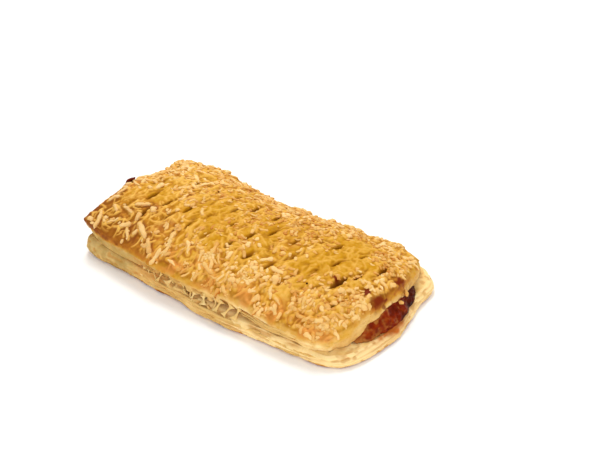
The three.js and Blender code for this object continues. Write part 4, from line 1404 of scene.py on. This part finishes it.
def goldenCrustFinish():
    g = goldenCrust
    material, tree, shader, place = newFinish("goldenCrust", g["roughness"], g["soft"])
    tone, freckles = addMottle(tree, place, *g["mottle"])
    bake = sumNode(tree, -1200, 200, "ADD", markNode(tree, -1400, 200, "bake"), tone)
    bake = sumNode(tree, -1050, 200, "MULTIPLY_ADD", freckles, g["freckles"], bake)
    oil = markNode(tree, -1400, 400, "oil")
    groove = markNode(tree, -1400, 600, "groove")
    crest = markNode(tree, -1400, 900, "crest")
    dough = markNode(tree, -1400, 700, "dough")
    # the slits' depth, kept off the pale cut edge, for painted shade inside the open slits
    bareCrust = sumNode(tree, -1200, 700, "SUBTRACT", 0.6, dough, clamp=True)
    slitDepth = sumNode(tree, -1050, 700, "MULTIPLY", groove, bareCrust)
    colour = rampNode(tree, -850, 300, bake, g["bake"])
    colour = blendNode(tree, -550, 300, oil, colour, g["oil"])
    cheese = rampNode(tree, -700, 600, sumNode(tree, -850, 600, "MULTIPLY_ADD", tone, 2.0, 0.45), g["cheese"])
    colour = blendNode(tree, -350, 300, markNode(tree, -1400, 500, "cheese"), colour, cheese)
    colour = blendNode(tree, -330, 200, markNode(tree, -1400, 1000, "blush"), colour, g["blush"])
    # painted highlight on crests, painted shade in hollows
    for row, (strength, shade) in enumerate((g["raised"], g["hollowShade"])):
        share = sumNode(tree, -1000, 900 + 100 * row, "MULTIPLY", crest, strength, clamp=True)
        colour = blendNode(tree, -300 + 50 * row, 400 + 100 * row, share, colour, shade)
    colour = blendNode(tree, -200, 300, dough, colour, addDough(tree, bake, groove, oil))
    colour = blendNode(tree, -50, 300, markNode(tree, -1400, 800, "stain"), colour, g["stain"])
    # the open slits darkened as painted shade
    colour = blendNode(tree, 100, 300, slitDepth, colour, g["slit"])
    feed(tree, shader.inputs["Base Color"], colour)
    feed(tree, shader.inputs["Roughness"], sumNode(tree, -300, 0, "ADD", tone, g["roughness"]))
    addGrain(tree, shader, place, *g["grain"])
    return material


gratedCheese = {
    "roughness": 0.45, "soft": 0.14, "mottle": (420, 0.5), "grain": (1500, 0.2, 0.12),
    # the tan blend for the front left sticks is partly their own colour, partly painted shade
    "tint": 0.55, "toast": 0.3, "foot": 0.6, "tanAndShade": (0.5, paint(226, 188, 128)),
    "level": (
        (0.0, paint(241, 200, 134)), (0.3, paint(230, 182, 107)), (0.6, paint(213, 153, 72)),
        (1.0, paint(190, 114, 40)),
    ),
}


def cheeseFinish():
    g = gratedCheese
    material, tree, shader, place = newFinish("bakedCheese", g["roughness"], g["soft"])
    level = addMottle(tree, place, *g["mottle"])[0]
    # foot darkens each shred's underside: partly toasting, partly painted shade
    for row, name in enumerate(("tint", "toast", "foot")):
        mark = markNode(tree, -1400, 300 - 100 * row, name)
        level = sumNode(tree, -1200 + 150 * row, 200, "MULTIPLY_ADD", mark, g[name], level)
    colour = rampNode(tree, -700, 200, level, g["level"])
    # the front left sticks blended to a flat tan: partly their own colour, partly painted shade
    share, shade = g["tanAndShade"]
    tanAndShade = sumNode(tree, -700, 400, "MULTIPLY", markNode(tree, -1400, 500, "tan"), share)
    colour = blendNode(tree, -400, 300, tanAndShade, colour, shade)
    feed(tree, shader.inputs["Base Color"], colour)
    addGrain(tree, shader, place, *g["grain"])
    return material


paleDough = {
    "roughness": 0.62, "soft": 0.12, "mottle": (260, 0.3), "freckles": 0.08, "grain": (1100, 0.5, 0.22),
    "stain": paint(188, 98, 32),
}


def paleDoughFinish():
    material, tree, shader, place = newFinish("paleDough", paleDough["roughness"], paleDough["soft"])
    tone, freckles = addMottle(tree, place, *paleDough["mottle"])
    bake = sumNode(tree, -1300, 100, "ADD", markNode(tree, -1450, 100, "bake"), tone)
    bake = sumNode(tree, -1200, 200, "MULTIPLY_ADD", freckles, paleDough["freckles"], bake)
    colour = addDough(tree, bake, markNode(tree, -1400, 400, "groove"), markNode(tree, -1400, 500, "oil"))
    colour = blendNode(tree, -300, 300, markNode(tree, -1400, 600, "stain"), colour, paleDough["stain"])
    feed(tree, shader.inputs["Base Color"], colour)
    addGrain(tree, shader, place, *paleDough["grain"])
    return material


tomatoFilling = {
    "roughness": 0.24, "soft": 0.08, "mottle": (220, 0.9), "lightness": 0.45, "grain": (700, 0.2, 0.3),
    "tones": (
        (0.2, paint(74, 12, 0)), (0.45, paint(120, 30, 0)), (0.68, paint(156, 62, 4)),
        (0.95, paint(200, 122, 40)),
    ),
    "chunk": paint(184, 122, 54), "burnt": paint(54, 14, 3),
}


def fillingFinish():
    f = tomatoFilling
    material, tree, shader, place = newFinish("tomatoFilling", f["roughness"], f["soft"])
    tone = addMottle(tree, place, *f["mottle"])[0]
    tone = sumNode(tree, -1100, 200, "ADD", tone, f["lightness"])
    colour = rampNode(tree, -850, 200, tone, f["tones"])
    colour = blendNode(tree, -500, 200, markNode(tree, -1400, 300, "chunk"), colour, f["chunk"])
    colour = blendNode(tree, -300, 200, markNode(tree, -1400, 400, "burnt"), colour, f["burnt"])
    feed(tree, shader.inputs["Base Color"], colour)
    addGrain(tree, shader, place, *f["grain"])
    return material


def dress(piece, slot, *nodes):
    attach(piece, "root")
    if nodes:
        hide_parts(*nodes)


slitsCut = slitPlaces()
places = shredPlaces(slitsCut)
print("slits", len(slitsCut), "shreds", len(places))
melted = looseBits(shreds["meltedExtra"], shreds["meltedSeed"], shreds["meltedLength"], True)
field = crustField(slitsCut, places, melted)
crustFinish = goldenCrustFinish()
doughFinish = paleDoughFinish()
sauceFinish = fillingFinish()
dress(makeTopCrust(field, crustFinish), "golden_crust", "top_sheet")
gratedFinish = cheeseFinish()
dress(makeShreds(field, places, gratedFinish), "golden_crust")
dress(makeCrumbs(field, gratedFinish), "golden_crust")
dress(makeBottomCrust(doughFinish), "pale_dough", "bottom_sheet")
dress(makeFilling(sauceFinish), "filling", "filling")
dress(makeLeaks(field, sauceFinish), "filling")
dress(makeFlakes(doughFinish), "pale_dough")
dress(makeWebs(doughFinish), "pale_dough")

# floor, light and camera
studio = {
    "floorSize": 6, "floorDrop": 0.05, "floorColour": (0.97, 0.955, 0.93, 1), "floorRoughness": 0.8,
    "world": 0.8, "key": (5.2, 0.36, (-0.35, 0.42, 0.8)), "fill": (2.6, 0.7, (0.6, -0.6, 0.3)),
    "cameraAt": (0.27105, -0.34165, 0.34291), "lookAt": (-0.00535, 0.03879, 0),
    "lens": 72.58, "sensor": 36, "clipStart": 0.01,
}


def turnTo(thing, place, target):
    thing.location = place
    thing.rotation_euler = (Vector(target) - Vector(place)).to_track_quat("-Z", "Y").to_euler()
    bpy.context.scene.collection.objects.link(thing)


def makeStudio():
    s = studio
    half = s["floorSize"] / 2
    mesh = bpy.data.meshes.new("floor")
    corners = [(-half, -half, 0), (half, -half, 0), (half, half, 0), (-half, half, 0)]
    mesh.from_pydata(corners, [], [(0, 1, 2, 3)])
    floor = bpy.data.objects.new("floor", mesh)
    floor.location.z = -s["floorDrop"] * mm
    bpy.context.scene.collection.objects.link(floor)
    material = bpy.data.materials.new("paleFloor")
    material.use_nodes = True
    shader = material.node_tree.nodes["Principled BSDF"]
    shader.inputs["Base Color"].default_value = s["floorColour"]
    shader.inputs["Roughness"].default_value = s["floorRoughness"]
    mesh.materials.append(material)

    world = bpy.data.worlds.new("softWhite")
    world.use_nodes = True
    background = world.node_tree.nodes["Background"]
    background.inputs["Color"].default_value = (1, 1, 1, 1)
    background.inputs["Strength"].default_value = s["world"]
    bpy.context.scene.world = world
    for name in ("key", "fill"):
        energy, size, place = s[name]
        light = bpy.data.lights.new(name, "AREA")
        light.energy = energy
        light.size = size
        turnTo(bpy.data.objects.new(name, light), place, (0, 0, 0))

    lens = bpy.data.cameras.new("camera")
    lens.lens = s["lens"]
    lens.sensor_width = s["sensor"]
    lens.clip_start = s["clipStart"]
    camera = bpy.data.objects.new("camera", lens)
    turnTo(camera, s["cameraAt"], s["lookAt"])
    bpy.context.scene.camera = camera
    bpy.context.scene.view_settings.view_transform = "Standard"


makeStudio()
